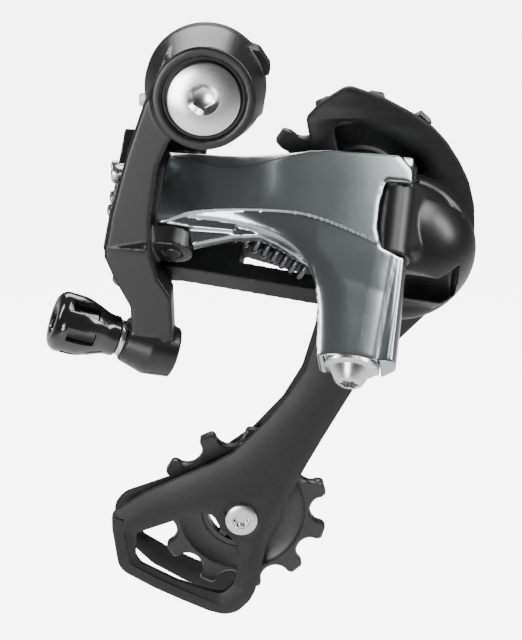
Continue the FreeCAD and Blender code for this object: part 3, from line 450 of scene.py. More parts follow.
def wear_group():
    """Where edges stick out and have rubbed."""
    group, source, end = shader_group(
        "Edge wear", [("Start", "NodeSocketFloat", 0.53), ("End", "NodeSocketFloat", 0.6),
                      ("Breakup", "NodeSocketFloat", 900.0)],
        [("Mask", "NodeSocketFloat")])
    where = add_node(group, "ShaderNodeTexCoord")
    surface = add_node(group, "ShaderNodeNewGeometry")
    spots = add_node(group, "ShaderNodeTexNoise")
    edge = add_node(group, "ShaderNodeMapRange")
    mask = add_node(group, "ShaderNodeMath", operation="MULTIPLY")
    link = group.links.new
    link(where.outputs["Object"], spots.inputs["Vector"])
    link(source.outputs["Breakup"], spots.inputs["Scale"])
    link(surface.outputs["Pointiness"], edge.inputs["Value"])
    link(source.outputs["Start"], edge.inputs["From Min"])
    link(source.outputs["End"], edge.inputs["From Max"])
    link(edge.outputs["Result"], mask.inputs[0])
    link(spots.outputs["Fac"], mask.inputs[1])
    link(mask.outputs[0], end.inputs["Mask"])
    return group


def lathe_group():
    """Rings left by a lathe round the mapped Z axis, uneven round the turn."""
    group, source, end = shader_group(
        "Lathe marks", [("Vector", "NodeSocketVector", (0, 0, 0)),
                        ("Rings", "NodeSocketFloat", 2200.0)],
        [("Height", "NodeSocketFloat")])
    flat = add_node(group, "ShaderNodeVectorMath", operation="MULTIPLY")
    flat.inputs[1].default_value = (1, 1, 0)
    reach = add_node(group, "ShaderNodeVectorMath", operation="LENGTH")
    rings = add_node(group, "ShaderNodeTexNoise", noise_dimensions="1D")
    rings.inputs["Detail"].default_value = 4.0
    link = group.links.new
    link(source.outputs["Vector"], flat.inputs[0])
    link(flat.outputs[0], reach.inputs[0])
    link(reach.outputs["Value"], rings.inputs["W"])
    link(source.outputs["Rings"], rings.inputs["Scale"])
    link(rings.outputs["Fac"], end.inputs["Height"])
    return group


GROUPS = {"grain": grain_group(), "wear": wear_group(), "lathe": lathe_group()}


def use_group(tree, name, **values):
    node = add_node(tree, "ShaderNodeGroup", node_tree=GROUPS[name])
    for key, value in values.items():
        node.inputs[key.replace("_", " ").title()].default_value = value
    return node


def material(name, colour, rough, metal=0.0, coat=0.0, grain=2500.0, bump=0.1, depth=2e-5,
             fleck=0.2, uneven=0.12, broad=60.0, wear=0.0, worn=(0.5, 0.5, 0.5), lathe=None,
             coat_rough=0.1, shine=0.5):
    """A finish with grain, uneven tone and gloss, rubbed edges and, where turned, lathe marks."""
    made = bpy.data.materials.new(name)
    made.use_nodes = True
    tree = made.node_tree
    shader = tree.nodes["Principled BSDF"]
    shader.inputs["Metallic"].default_value = metal
    shader.inputs["Coat Weight"].default_value = coat
    shader.inputs["Coat Roughness"].default_value = coat_rough
    shader.inputs["Specular IOR Level"].default_value = shine
    link = tree.links.new
    surface = use_group(tree, "grain", scale=grain, broad=broad)
    ramp = add_node(tree, "ShaderNodeMapRange")
    ramp.inputs["From Min"].default_value = 0.3
    ramp.inputs["From Max"].default_value = 0.7
    ramp.inputs["To Min"].default_value = 1.0 - fleck
    ramp.inputs["To Max"].default_value = 1.0 + fleck
    tint = add_node(tree, "ShaderNodeVectorMath", operation="SCALE")
    tint.inputs[0].default_value = colour
    link(surface.outputs["Fine"], ramp.inputs["Value"])
    link(ramp.outputs["Result"], tint.inputs["Scale"])
    base = tint.outputs["Vector"]
    gloss = add_node(tree, "ShaderNodeMapRange")
    gloss.inputs["From Min"].default_value = 0.3
    gloss.inputs["From Max"].default_value = 0.7
    gloss.inputs["To Min"].default_value = rough * (1 - uneven)
    gloss.inputs["To Max"].default_value = rough * (1 + uneven)
    link(surface.outputs["Tone"], gloss.inputs["Value"])
    link(gloss.outputs["Result"], shader.inputs["Roughness"])
    if wear:
        edges = use_group(tree, "wear")
        share = add_node(tree, "ShaderNodeMath", operation="MULTIPLY")
        share.inputs[1].default_value = wear
        rubbed = add_node(tree, "ShaderNodeMix", data_type="RGBA")
        rubbed.inputs["B"].default_value = (*worn, 1.0)
        link(edges.outputs["Mask"], share.inputs[0])
        link(share.outputs[0], rubbed.inputs["Factor"])
        link(base, rubbed.inputs["A"])
        base = rubbed.outputs["Result"]
    link(base, shader.inputs["Base Color"])
    height = surface.outputs["Height"]
    if lathe is not None:
        where = add_node(tree, "ShaderNodeTexCoord")
        centred = add_node(tree, "ShaderNodeMapping", vector_type="TEXTURE")
        centred.inputs["Location"].default_value = lathe.to_translation()
        centred.inputs["Rotation"].default_value = lathe.to_euler()
        marks = use_group(tree, "lathe")
        link(where.outputs["Object"], centred.inputs["Vector"])
        link(centred.outputs["Vector"], marks.inputs["Vector"])
        height = marks.outputs["Height"]
    relief = add_node(tree, "ShaderNodeBump")
    relief.inputs["Strength"].default_value = bump
    relief.inputs["Distance"].default_value = depth
    link(height, relief.inputs["Height"])
    link(relief.outputs["Normal"], shader.inputs["Normal"])
    return made


def finishes(look):
    """Every material, by the name of the record's slot that it finishes."""
    black, link_colour = tuple(look.black), tuple(look.link_colour)
    return {
        "black_paint": material("Satin black paint", black, 0.36, coat=0.25, grain=3200.0,
                                bump=0.35, depth=3e-5, fleck=0.45, wear=0.35,
                                worn=(0.22, 0.22, 0.22), coat_rough=0.3, shine=0.4),
        "link_paint": material("Grey metallic lacquer", link_colour, 0.2, metal=0.92, coat=0.8,
                               grain=5200.0, bump=0.06, depth=1e-5, fleck=0.16, wear=0.25,
                               worn=(0.7, 0.72, 0.71), coat_rough=0.06),
        "black_resin": material("Black moulded resin", black, 0.45, shine=0.4, grain=1800.0,
                                bump=0.3, depth=3e-5, fleck=0.3, wear=0.2,
                                worn=(0.12, 0.12, 0.12)),
        "gloss_resin": material("Glossy black resin", (0.012, 0.012, 0.013), 0.14, coat=0.7,
                                grain=900.0, bump=0.04, depth=1e-5, fleck=0.1),
        "pulley_resin": material("Pulley resin", (0.018, 0.018, 0.019), 0.36, grain=1400.0,
                                 bump=0.18, depth=2e-5, fleck=0.25, wear=0.2,
                                 worn=(0.16, 0.16, 0.16)),
        "machined_steel": material("Machined steel", (0.66, 0.66, 0.67), 0.26, metal=1.0,
                                   grain=2600.0, bump=0.12, fleck=0.1, wear=0.2,
                                   worn=(0.85, 0.85, 0.85)),
        "zinc_steel": material("Rough zinc plate", (0.55, 0.56, 0.58), 0.38, metal=1.0,
                               grain=700.0, bump=0.9, depth=2e-4, fleck=0.35, uneven=0.4),
        "dark_steel": material("Blackened steel", (0.06, 0.06, 0.065), 0.38, metal=0.7,
                               grain=1600.0, bump=0.15, fleck=0.25, wear=0.6,
                               worn=(0.45, 0.45, 0.46)),
        "spring_steel": material("Oiled spring steel", (0.10, 0.10, 0.11), 0.28, metal=0.9,
                                 grain=1500.0, bump=0.1, fleck=0.2),
        "bronze": material("Sintered bronze", (0.45, 0.32, 0.15), 0.4, metal=1.0, grain=2000.0,
                           bump=0.2, fleck=0.25),
        "plate_paint": material("Matt black paint", (0.008, 0.008, 0.0084), 0.5, shine=0.28,
                                grain=2600.0, bump=0.35, depth=3e-5, fleck=0.4, wear=0.3,
                                worn=(0.16, 0.16, 0.16)),
        "rubber": material("Seal rubber", (0.014, 0.014, 0.014), 0.6, grain=1200.0, bump=0.2,
                           fleck=0.2),
        "turned_face": material("Turned steel face", (0.70, 0.70, 0.71), 0.24, metal=1.0,
                                bump=0.3, depth=2e-5, fleck=0.06,
                                lathe=placed((0, 0, 0), (1, 0, 0), OUT)),
    }


FINISH = {}
SLOT_OF = {item["node"]: item["material_slot"] for item in frame["record"]["subparts"]}


def piece(name, mesh, place, body, replaces, finish=None):
    """Set a drawn mesh in its place, with its finish (by default the one for its first node's slot), under its
    body, and hide the nodes it stands for.
    """
    slot = SLOT_OF[replaces[0]]
    mesh.transform(place)
    mesh.name = name
    for polygon in mesh.polygons:
        polygon.use_smooth = True
        polygon.material_index = 0
    mesh.set_sharp_from_angle(angle=math.radians(38))
    mesh.materials.clear()
    mesh.materials.append(FINISH[finish or slot])
    made = bpy.data.objects.new(name, mesh)
    bpy.context.scene.collection.objects.link(made)
    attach(made, body)
    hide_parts(*replaces)
    return made


def refinish(node, edge):
    """A node whose shape stays: its own material, and a small bevel on its edges."""
    kept = frame["nodes"][node]
    kept.data.materials.clear()
    kept.data.materials.append(FINISH[SLOT_OF[node]])
    if edge:
        join = kept.modifiers.new("join", "WELD")
        join.merge_threshold = 1e-6
        bevel = kept.modifiers.new("bevel", "BEVEL")
        bevel.width = edge * MM
        bevel.segments = 2
        bevel.limit_method = "ANGLE"
        bevel.angle_limit = math.radians(40)
        bevel.harden_normals = True


# Pieces ----------------------------------------------------------------------------------------
def bracket(look):
    body = cad_shape("bracket_body", SIDE)
    mesh = cast([body], [], look.skin, 3)
    bore_radius, bore_reach = 2.7, 0.02
    seat = Vector(JOINTS["adjuster_turn"]["pos_m"])
    axis = Vector(JOINTS["adjuster_turn"]["axis"]) * bore_reach
    bore = rod(SIDE.inverted() @ (seat - axis), SIDE.inverted() @ (seat + axis), bore_radius, 48)
    mesh = cut([shape_of(mesh)], [bore])
    piece("bracket_casting", mesh, SIDE, "bracket", ["bracket_body"])


def hanger_bolt():
    head, face, shank, thread = 8.7, 25.0, 5.5, 4.62
    socket_mouth = 3.9
    body = turned([(0, face), (head - 0.4, face), (head - 0.1, face - 0.15), (head, face - 0.5),
                   (head, face - 2.8), (shank, face - 2.8), (shank, 2.4), (thread, 2.4),
                   (thread, -9.2), (thread - 0.8, -10.0), (0, -10.0)], 96)
    key = 5.0 / math.sqrt(3)
    hexagon = [(key * math.cos(math.radians(60 * i + 30)),
                key * math.sin(math.radians(60 * i + 30))) for i in range(6)]
    walls = prism(hexagon, face - 4.0, face + 1)
    bottom = turned([(0, face - 5.6), (key - 0.35, face - 3.9), (key - 0.35, face - 3.6),
                     (0, face - 3.6)], 48)
    mouth = turned([(0, face - 1.1), (key - 0.4, face - 1.1), (socket_mouth, face + 0.1),
                    (socket_mouth, face + 1), (0, face + 1)], 48)
    mesh = cut([body], [walls, bottom, mouth])
    ridge = coil(thread, 0.36, 10.2, 10.2)
    ridge.transform(Matrix.Translation((0, 0, -9.4)))
    whole = mesh_of([shape_of(mesh), ridge])
    piece("hanger_bolt_turned", whole, SIDE, "hanger_bolt", ["bracket_axle"], "turned_face")


CREASE = [(-3.3, 5.1), (0.7, 6.9), (4.1, 8.8), (15.6, 10.1), (29.2, 10.5), (35.2, 9.5),
          (41.1, 7.6), (47.1, 5.4), (50.3, 4.0), (56.0, 3.2)]
LOWER_EDGE = [(-8.0, 5.8), (-3.8, 6.2), (3.9, 7.6), (15.8, 7.2), (23.8, 5.3), (28.0, 3.4),
              (32.2, 0.3), (35.5, -4.5), (37.5, -11.5), (38.7, -23.0), (38.9, -27.0)]
RIGHT_EDGE = [(56.4, 3.5), (55.3, 2.0), (54.7, -10.0), (54.0, -21.8), (53.8, -27.0)]
FACET = [(-5.0, 24.0), (3.3, 22.5), (11.0, 20.8), (15.7, 21.2), (23.6, 24.2), (31.2, 26.8),
         (33.0, 30.0)]


def eased(line, rounds=3):
    """An open line with its corners cut back until it runs smoothly."""
    for _ in range(rounds):
        drawn = [line[0]]
        for (x1, y1), (x2, y2) in zip(line, line[1:]):
            drawn += [(0.75 * x1 + 0.25 * x2, 0.75 * y1 + 0.25 * y2),
                      (0.25 * x1 + 0.75 * x2, 0.25 * y1 + 0.75 * y2)]
        line = drawn + [line[-1]]
    return line


def along_line(line, x):
    line = eased(line)
    return np.interp(x, [p[0] for p in line], [p[1] for p in line])


def reach_of(points, line):
    """Each point's distance from a line of runs."""
    best = np.full(len(points), 1e9)
    line = eased(line)
    for start, end in zip(np.array(line[:-1]), np.array(line[1:])):
        run = end - start
        share = np.clip(((points - start) @ run) / (run @ run), 0, 1)
        near = start + share[:, None] * run
        best = np.minimum(best, np.linalg.norm(points - near, axis=1))
    return best


def rounding(reach, width, drop):
    """How far a rounded edge has fallen at a distance from its rim."""
    share = 1 - np.clip(reach / width, 0, 1)
    return drop * (1 - np.sqrt(np.clip(1 - share ** 2, 0, 1)))


def shape_link_face(mesh, look):
    """Gives the forging its curved face, its crease and its rounded limb."""
    places = np.empty(len(mesh.vertices) * 3)
    mesh.vertices.foreach_get("co", places)
    places = places.reshape(-1, 3)
    x, y, z = places.T
    front, floor = look.link_front, look.link_floor
    skin = z > floor
    crease = along_line(CREASE, x)
    cell = look.skin
    below = y - crease
    near, foot = np.abs(below) <= cell / 2, (below < -cell / 2) & (below > -1.5 * cell)
    y[skin & near] = crease[skin & near]
    y[skin & foot] = crease[skin & foot] - 0.8 * cell
    face = front - 0.0011 * (x - 25.0) ** 2
    facet = along_line(FACET, x)
    face = face - np.where(y > facet, 0.5 * (y - facet), 0)
    points = np.stack((x, y), axis=1)
    step = np.interp(x, [-3, 12, 34], [0.1, 0.3, 0.8])
    slope = np.interp(x, [-3, 14, 24, 36], [0.4, 0.45, 0.2, 0.03])
    step = step + slope * np.clip(crease - y, 0, 12)
    wide = np.interp(y, [-8, 7], [7.5, 3.0])
    low = face - step - rounding(reach_of(points, LOWER_EDGE), wide, 0.28 * wide)
    low = low - np.where(y < 4, rounding(reach_of(points, RIGHT_EDGE), 6.0, 1.9), 0)
    low = np.maximum(low, floor + 0.35)
    aim = np.where(y < crease - 1e-6, low, face)
    z[skin] = floor + (z[skin] - floor) * (aim[skin] - floor) / (front - floor)
    mesh.vertices.foreach_set("co", places.ravel())
    mesh.update()


def outer_link(look):
    body = cad_shape("outer_link", LINK_FACE)
    edge = eased(LOWER_EDGE[1:-1])
    flange = prism(edge + [(43.0, -22.6), (43.0, 8.0), (0.0, 12.0), (-3.6, 12.0)], 2.4, 6.8)
    web = prism([(2.0, 9.0), (5.0, 1.4), (14.4, 4.3), (21.0, 5.0), (25.6, 3.2), (31.0, 0.2),
                 (34.0, -1.0), (36.0, 6.0), (20.0, 9.5)], -0.6, 3.0)
    mesh = cast([body, flange, web], [], look.skin, 8)
    shape_link_face(mesh, look)
    piece("outer_link_forging", mesh, LINK_FACE, "outer_link", ["outer_link"])


def hull(points):
    shape = bmesh.new()
    for point in points:
        shape.verts.new(point)
    made = bmesh.ops.convex_hull(shape, input=shape.verts)
    spare = {item for item in made["geom_interior"] + made["geom_unused"]
             if isinstance(item, bmesh.types.BMVert)}
    bmesh.ops.delete(shape, geom=list(spare), context="VERTS")
    return closed_mesh(shape)


def carrier(look):
    body = cad_shape("cage_carrier", SIDE)
    arm = rod((LINK_LENGTH, 0, 3.9), (LINK_LENGTH, 0, 22.6), 4.7, 48)
    points = [SIDE.inverted() @ PINS @ v.co for v in arm.verts]
    x, y = flat(CAGE_PIVOT)
    for height, radius in ((7.0, 17.2), (9.4, 15.2)):
        for k in range(-18, 43):
            turn = math.radians(2 * k + 1)
            points.append(Vector((x + radius * math.cos(turn), y + radius * math.sin(turn),
                                  height)))
    dome = hull(points)
    step = prism([(30, -37.0), (43.7, -37.8), (51.1, -39.5), (57.3, -42.8), (61.1, -47.2),
                  (63.0, -52.0), (63.0, -75.0), (30, -75)], 8.3, 60)
    scoop = rod((30, -46.0, 14.6), (61.5, -48.5, 14.4), 7.0, 64)
    shaped = cut([dome], [step])
    mesh = cast([body, shape_of(shaped)], [scoop], look.skin, 4)
    piece("carrier_housing", mesh, SIDE, "carrier", ["cage_carrier"])


def inner_link():
    fine_skin = 0.35
    mesh = cast([cad_shape("inner_link", LINK_FACE)], [], fine_skin, 2)
    piece("inner_link_bar", mesh, LINK_FACE, "inner_link", ["inner_link"])


def wound_spring():
    start = PINS @ Vector((17.4, 2.9, 8.3))
    end = PINS @ Vector((34.26, 5.4, 0.4))
    axis = end - start
    place = placed(start, (0, 1, 0), axis)
    shape = coil(2.7, 0.86, axis.length / MM - 0.5, 7.0)
    mesh = mesh_of([shape])
    piece("return_spring_coil", mesh, place, "outer_link", ["return_spring"])


ARM = [(33.8, -88.7), (29.1, -97.0), (24.8, -104.9), (20.9, -112.9), (17.4, -119.8),
       (15.0, -126.3), (13.2, -134.5), (12.0, -140.0), (10.4, -143.3), (7.0, -146.7),
       (3.5, -147.5), (-0.6, -146.4), (-7.5, -143.3), (-15.5, -139.4), (-24.9, -133.9),
       (-26.5, -121.9), (-26.5, -118.2), (-25.7, -117.1), (-18.0, -112.1), (-10.0, -108.3),
       (-0.2, -103.8), (5.7, -100.7), (11.1, -95.4), (16.4, -89.7), (20.7, -84.0),
       (25.5, -76.8), (29.0, -66.0), (30.4, -55.0), (30.0, -46.0)]
ARM_TOP = [(36.0, -42.0), (50.0, -46.0), (54.0, -56.0), (51.5, -66.0), (43.5, -74.0),
           (38.6, -80.4)]
GUARD = [(34.0, -72.0), (29.5, -66.0), (30.0, -46.0), (28.6, -32.0), (27.0, -22.0),
         (25.0, -12.3), (24.7, -10.2), (28.3, -6.3), (34.1, -2.6), (35.9, -2.3), (43.9, -5.1),
         (51.7, -9.3), (56.7, -12.7), (60.3, -16.6), (63.6, -21.7), (65.9, -26.4),
         (67.4, -32.5), (67.7, -38.4), (67.6, -45.5), (65.8, -51.5), (62.2, -56.6),
         (57.4, -60.0), (51.5, -66.0), (43.5, -74.0), (38.6, -80.4)]
WINDOW = [(-20.2, -123.6), (-18.7, -122.8), (-5.2, -118.0), (-2.3, -117.1), (0.7, -118.2),
          (2.6, -121.9), (7.0, -126.3), (7.5, -128.5), (7.0, -134.5), (6.0, -138.3),
          (3.0, -141.4), (-0.5, -140.5), (-9.5, -137.3), (-18.9, -132.3), (-20.3, -130.1)]
GUARD_WINDOW = [(33.2, -20.5), (31.7, -13.8), (32.1, -11.6), (33.9, -10.7), (39.2, -11.8),
                (46.2, -15.4), (52.7, -19.9), (55.2, -23.1), (54.9, -25.3), (51.0, -25.0),
                (44.0, -22.2), (38.8, -21.0)]
INNER_PLATE = [(33.0, -88.7), (28.6, -97.0), (24.4, -104.9), (20.5, -112.9), (17.0, -119.8),
               (14.6, -126.3), (13.2, -134.5), (11.4, -141.5), (7.0, -146.0), (2.0, -146.9),
               (-7.5, -143.3), (-16.5, -138.0), (-23.0, -131.5), (-26.6, -124.0),
               (-26.7, -120.0), (-23.8, -116.6), (-10.9, -111.9), (-1.8, -107.2),
               (11.5, -97.4), (19.4, -88.7), (24.5, -80.0), (28.0, -68.0), (29.0, -56.0),
               (29.0, -42.0), (27.5, -33.0), (30.0, -24.0), (36.0, -19.5), (44.0, -20.0),
               (52.0, -25.0), (57.5, -33.0), (58.5, -43.0), (56.0, -53.0), (50.0, -63.0),
               (43.5, -73.0), (38.0, -80.4)]
INNER_WINDOW = [(-20.5, -125.5), (-18.0, -121.0), (-8.0, -117.0), (-2.5, -116.0),
                (0.5, -118.0), (2.6, -124.0), (4.5, -128.0), (4.5, -134.0), (2.0, -138.4),
                (-4.0, -137.5), (-12.0, -133.5), (-19.0, -129.0)]


def flat(point):
    """A row-frame point in metres as the outer side's (x, y) in millimetres."""
    return (point[0] / MM, point[2] / MM)


def outer_plate():
    thick = 3.0
    arm = plate(ARM + ARM_TOP, [WINDOW, circle(flat(TENSION), 2.55)], thick, 3.2, 0.9)
    guard = plate(GUARD, [GUARD_WINDOW], thick - 0.06, 0.7, 0.45)
    for shape in (arm, guard):
        shape.transform(Matrix.Translation((0, 0, -5.0)))
    mesh = mesh_of([arm, guard])
    piece("outer_cage_plate_pressed", mesh, SIDE, "cage", ["outer_cage_plate"])


def inner_plate():
    shape = plate(INNER_PLATE, [INNER_WINDOW], 1.6, 0.5, 0.3)
    shape.transform(Matrix.Translation((0, 0, -16.6)))
    piece("inner_cage_plate_pressed", mesh_of([shape]), SIDE, "cage", ["inner_cage_plate"])


def tooth_sector(teeth, tip, half, inner):
    """One tooth and its share of the rim, from valley to valley."""
    pitch = 12.7 / (2 * math.sin(math.pi / teeth))
    seat, half_turn = 4.1, math.pi / teeth
    outline = []
    steps = 9
    low = Vector((pitch * math.cos(half_turn), -pitch * math.sin(half_turn)))
    inward = -low.normalized()
    side = Vector((-inward.y, inward.x)) * -1
    for k in range(steps + 1):
        angle = math.radians(92) * k / steps
        outline.append(low + inward * seat * math.cos(angle) + side * seat * math.sin(angle))
    tip_half = 1.95
    outline = [p for p in outline if p.length < tip - 0.6]
    outline.append(Vector((tip - 0.35, -tip_half)))
    outline.append(Vector((tip, -tip_half + 0.45)))
    outline = outline + [Vector((p.x, -p.y)) for p in reversed(outline)]
    count = len(outline)
    angles = [math.atan2(p.y, p.x) for p in outline]
    angles[0], angles[-1] = -half_turn, half_turn
    core = [Vector((inner * math.cos(a), inner * math.sin(a))) for a in angles]
    chamfer = 0.7
    shrunk = [p - p.normalized() * chamfer for p in outline]
    rings = [(core, half), (shrunk, half), (outline, half - 0.55), (outline, -half + 0.55),
             (shrunk, -half), (core, -half)]
    shape = bmesh.new()
    rows = [[shape.verts.new((p.x, p.y, z)) for p in line] for line, z in rings]
    for one, two in zip(rows, rows[1:]):
        for i in range(count - 1):
            shape.faces.new((one[i], one[i + 1], two[i + 1], two[i]))
    return shape


def pulley(name, node, body, centre, tip, first_tooth):
    teeth, half = 11, 1.9
    inner = 17.2
    teeth_ring = ring_of(tooth_sector(teeth, tip, half, inner), teeth, first_tooth)
    web = turned([(inner - 0.9, half - 0.7), (inner, half), (inner, -half),
                  (inner - 0.9, -half + 0.7), (11.2, -half + 0.7), (10.4, -half),
                  (9.2, -half), (9.2, half), (10.4, half), (11.2, half - 0.7)], 96)
    hub = turned([(4.45, half), (6.6, half), (6.6, -half), (4.45, -half)], 64)
    spoke = block((6.0, -1.1, -half + 0.4), (9.8, 1.1, half - 0.4))
    spokes = ring_of(spoke, 5, 0.3)
    mesh = mesh_of([teeth_ring, web, hub, spokes])
    out = -centre[1] / MM
    piece(name, mesh, side_at(centre, out), body, [node])


def star_socket(reach, low, high):
    """A six-lobed key socket, as a cutter."""
    lobe = rod((reach * 0.78, 0, low), (reach * 0.78, 0, high), reach * 0.26, 16)
    lobes = ring_of(lobe, 6)
    core = rod((0, 0, low), (0, 0, high), reach * 0.8, 36)
    return [lobes, core]


def pulley_bolt(name, node, centre, front):
    """A button-headed bolt; its head is at the outer or at the inner plate."""
    head, thick, shank, length = 4.5, 1.9, 2.5, 13.6 if front else 14.6
    body = turned([(0, thick), (head - 0.9, thick), (head - 0.25, thick - 0.3),
                   (head, thick - 0.9), (head, 0), (shank, 0), (shank, -length), (0, -length)], 72)
    rim = turned([(0, thick - 0.25), (2.2, thick - 0.25), (2.5, thick + 0.2),
                  (0, thick + 0.2)], 48)
    mesh = cut([body], star_socket(2.1, thick - 1.5, thick + 1) + [rim])
    if front:
        place = side_at(centre, -3.0)
    else:
        place = placed((centre[0], 16.6 * MM, centre[2]), (1, 0, 0), (0, 1, 0))
    piece(name, mesh, place, "cage", [node])


def clamp_bolt():
    along, limb_end, flange_depth, plate_thick, gap = 46.8, -25.6, 3.2, 3.1, 0.1
    low = limb_end + flange_depth - plate_thick - gap
    place = placed(PINS @ Vector((along, 0, low)), SECOND_PIN - FIRST_PIN, PIN_AXIS * -1)
    flange, face = 6.3, 5.0
    body = turned([(0, face), (2.9, face), (3.3, face - 0.3), (4.6, 2.0), (4.9, 1.5),
                   (flange - 0.25, 1.25), (flange, 0.95), (flange, 0.2), (flange - 0.3, 0),
                   (2.5, 0), (2.5, -10.5), (0, -10.5)], 72)
    mesh = cut([body], star_socket(2.2, face - 2.2, face + 1))
    piece("clamp_bolt_turned", mesh, place, "clamp", ["cable_clamp_bolt"])


def adjuster(look):
    seat = Vector(JOINTS["adjuster_turn"]["pos_m"])
    axis = Vector(JOINTS["adjuster_turn"]["axis"])
    place = placed(seat, OUT, axis)
    end, radius, waist, mouth = 18.0, 7.5, 5.05, 11.0
    profile = [(2.42, 1.85), (waist - 0.3, 1.85), (waist, 2.15), (waist, 3.6), (5.16, 4.5),
               (5.5, 5.5), (5.95, 6.6), (6.6, 8.3), (7.15, 10.0), (7.42, 11.4), (radius, 12.5),
               (radius, 15.8), (7.3, 16.7), (6.7, 17.5), (5.9, end), (3.6, end), (3.4, end - 0.3),
               (2.9, end - 0.3), (2.7, end - 0.9), (2.1, end - 0.9), (2.1, mouth),
               (1.0, mouth), (1.0, 9.6), (2.42, 9.6)]
    body = turned(profile, 96)
    flat_face = block((6.3, -6, 4.4), (11, 6, end + 3))
    flat_face.transform(Matrix.Rotation(math.radians(4.6), 4, "Y"))
    pocket = prism(rounded([(-1.75, 7.9), (1.75, 7.9), (1.75, 15.0), (-1.75, 15.0)], 0.5), 4.6, 9)
    pocket.transform(Matrix(((0, 0, 1, 0), (1, 0, 0, 0), (0, 1, 0, 0), (0, 0, 0, 1))))
    first = math.radians(-3)
    flats = ring_of(flat_face, look.flats, first)
    pockets = ring_of(pocket, look.flats, first)
    mesh = cut([body], [flats])
    mesh = cut([shape_of(mesh)], [pockets])
    mesh = worked(mesh, lambda scratch: soften(scratch, 0.2))
    piece("adjuster_knob", mesh, place, "adjuster", ["adjuster_barrel"])


def soften(item, width):
    bevel = item.modifiers.new("bevel", "BEVEL")
    bevel.width = width
    bevel.segments = 2
    bevel.limit_method = "ANGLE"
    bevel.angle_limit = math.radians(35)


KEPT = {"stopper_plate": 0.25, "axle_clip": 0.1, "bracket_bush": 0.1, "bracket_spring": 0,
        "bracket_dust_ring": 0.2, "outer_link_bracket_pin": 0.15,
        "inner_link_bracket_pin": 0.15, "high_limit_screw": 0.15, "low_limit_screw": 0.15,
        "bracket_tension_screw": 0.15, "spring_anchor_pin": 0.2, "cable_clamp_plate": 0.2,
        "outer_link_cage_pin": 0.15, "inner_link_cage_pin": 0.15, "cage_pivot_bush": 0.1,
        "cage_spring": 0, "cage_seal_ring": 0.1, "cage_axle": 0.2, "cage_stop_pin": 0.15,
        "guide_bush": 0.1, "guide_outer_dust_cap": 0.15, "guide_inner_dust_cap": 0.15,
        "tension_bush": 0.1, "tension_outer_dust_cap": 0.15, "tension_inner_dust_cap": 0.15,
        "adjuster_collar": 0.15, "adjuster_bolt": 0.1}


def area(name, place, aim, wide, tall, power):
    lamp = bpy.data.lights.new(name, "AREA")
    lamp.energy = power
    lamp.shape = "RECTANGLE"
    lamp.size = wide
    lamp.size_y = tall
    made = bpy.data.objects.new(name, lamp)
    made.location = place
    made.rotation_euler = (Vector(aim) - Vector(place)).to_track_quat("-Z", "Y").to_euler()
    bpy.context.scene.collection.objects.link(made)


def seen(tree, bright, dim):
    """A strength that is bright to the camera and dim to the object's own reflections."""
    path = add_node(tree, "ShaderNodeLightPath")
    choose = add_node(tree, "ShaderNodeMapRange")
    choose.inputs["To Min"].default_value = dim
    choose.inputs["To Max"].default_value = bright
    tree.links.new(path.outputs["Is Camera Ray"], choose.inputs["Value"])
    return choose.outputs["Result"]


def studio(look):
    low, high = CAD_BOX
    bpy.ops.mesh.primitive_plane_add(size=8.0, location=(0, 1.0, low.z - look.floor_drop))
    floor = bpy.context.object
    floor.name = "floor"
    paint = material("Pale floor", (0.9, 0.9, 0.9), 0.8, fleck=0.01, bump=0.02, grain=60.0,
                     broad=2.0, uneven=0.05)
    shader = paint.node_tree.nodes["Principled BSDF"]
    shader.inputs["Emission Color"].default_value = (1, 1, 1, 1)
    paint.node_tree.links.new(seen(paint.node_tree, look.backdrop, look.floor_glow),
                              shader.inputs["Emission Strength"])
    floor.data.materials.append(paint)
    world = bpy.data.worlds.new("Studio")
    world.use_nodes = True
    sky = world.node_tree.nodes["Background"]
    sky.inputs["Color"].default_value = (1, 1, 1, 1)
    world.node_tree.links.new(seen(world.node_tree, look.backdrop, look.fill),
                              sky.inputs["Strength"])
    bpy.context.scene.world = world
    middle = Vector((0.014, -0.015, -0.055))
    lamps = [("overhead", (0.34, -0.10, 0.94), 0.62, 0.36, 0.30, 2.9),
             ("right_strip", (0.80, -0.20, 0.56), 0.60, 0.14, 0.36, 2.2),
             ("front_left", (-0.34, -0.93, 0.04), 0.60, 0.20, 0.22, 1.7),
             ("low_left", (-0.60, -0.62, -0.50), 0.60, 0.24, 0.20, 0.8),
             ("high_left", (-0.83, 0.10, 0.55), 0.60, 0.14, 0.36, 1.8),
             ("behind", (-0.10, 0.75, 0.60), 0.60, 0.45, 0.20, 1.6)]
    for name, way, reach, wide, tall, power in lamps:
        place = middle + Vector(way).normalized() * reach
        area(name, place, middle, wide, tall, power * look.light)
    camera = bpy.data.objects.new("camera", bpy.data.cameras.new("camera"))
    camera.data.lens = look.lens
    camera.data.sensor_width = 36.0
    camera.data.clip_start = 0.01
    target = Vector((0.01343, 0.0, -0.06223))
    camera.location = (0.01343, -0.45556, 0.08579)
    camera.rotation_euler = (target - camera.location).to_track_quat("-Z", "Y").to_euler()
    bpy.context.scene.collection.objects.link(camera)
    bpy.context.scene.camera = camera


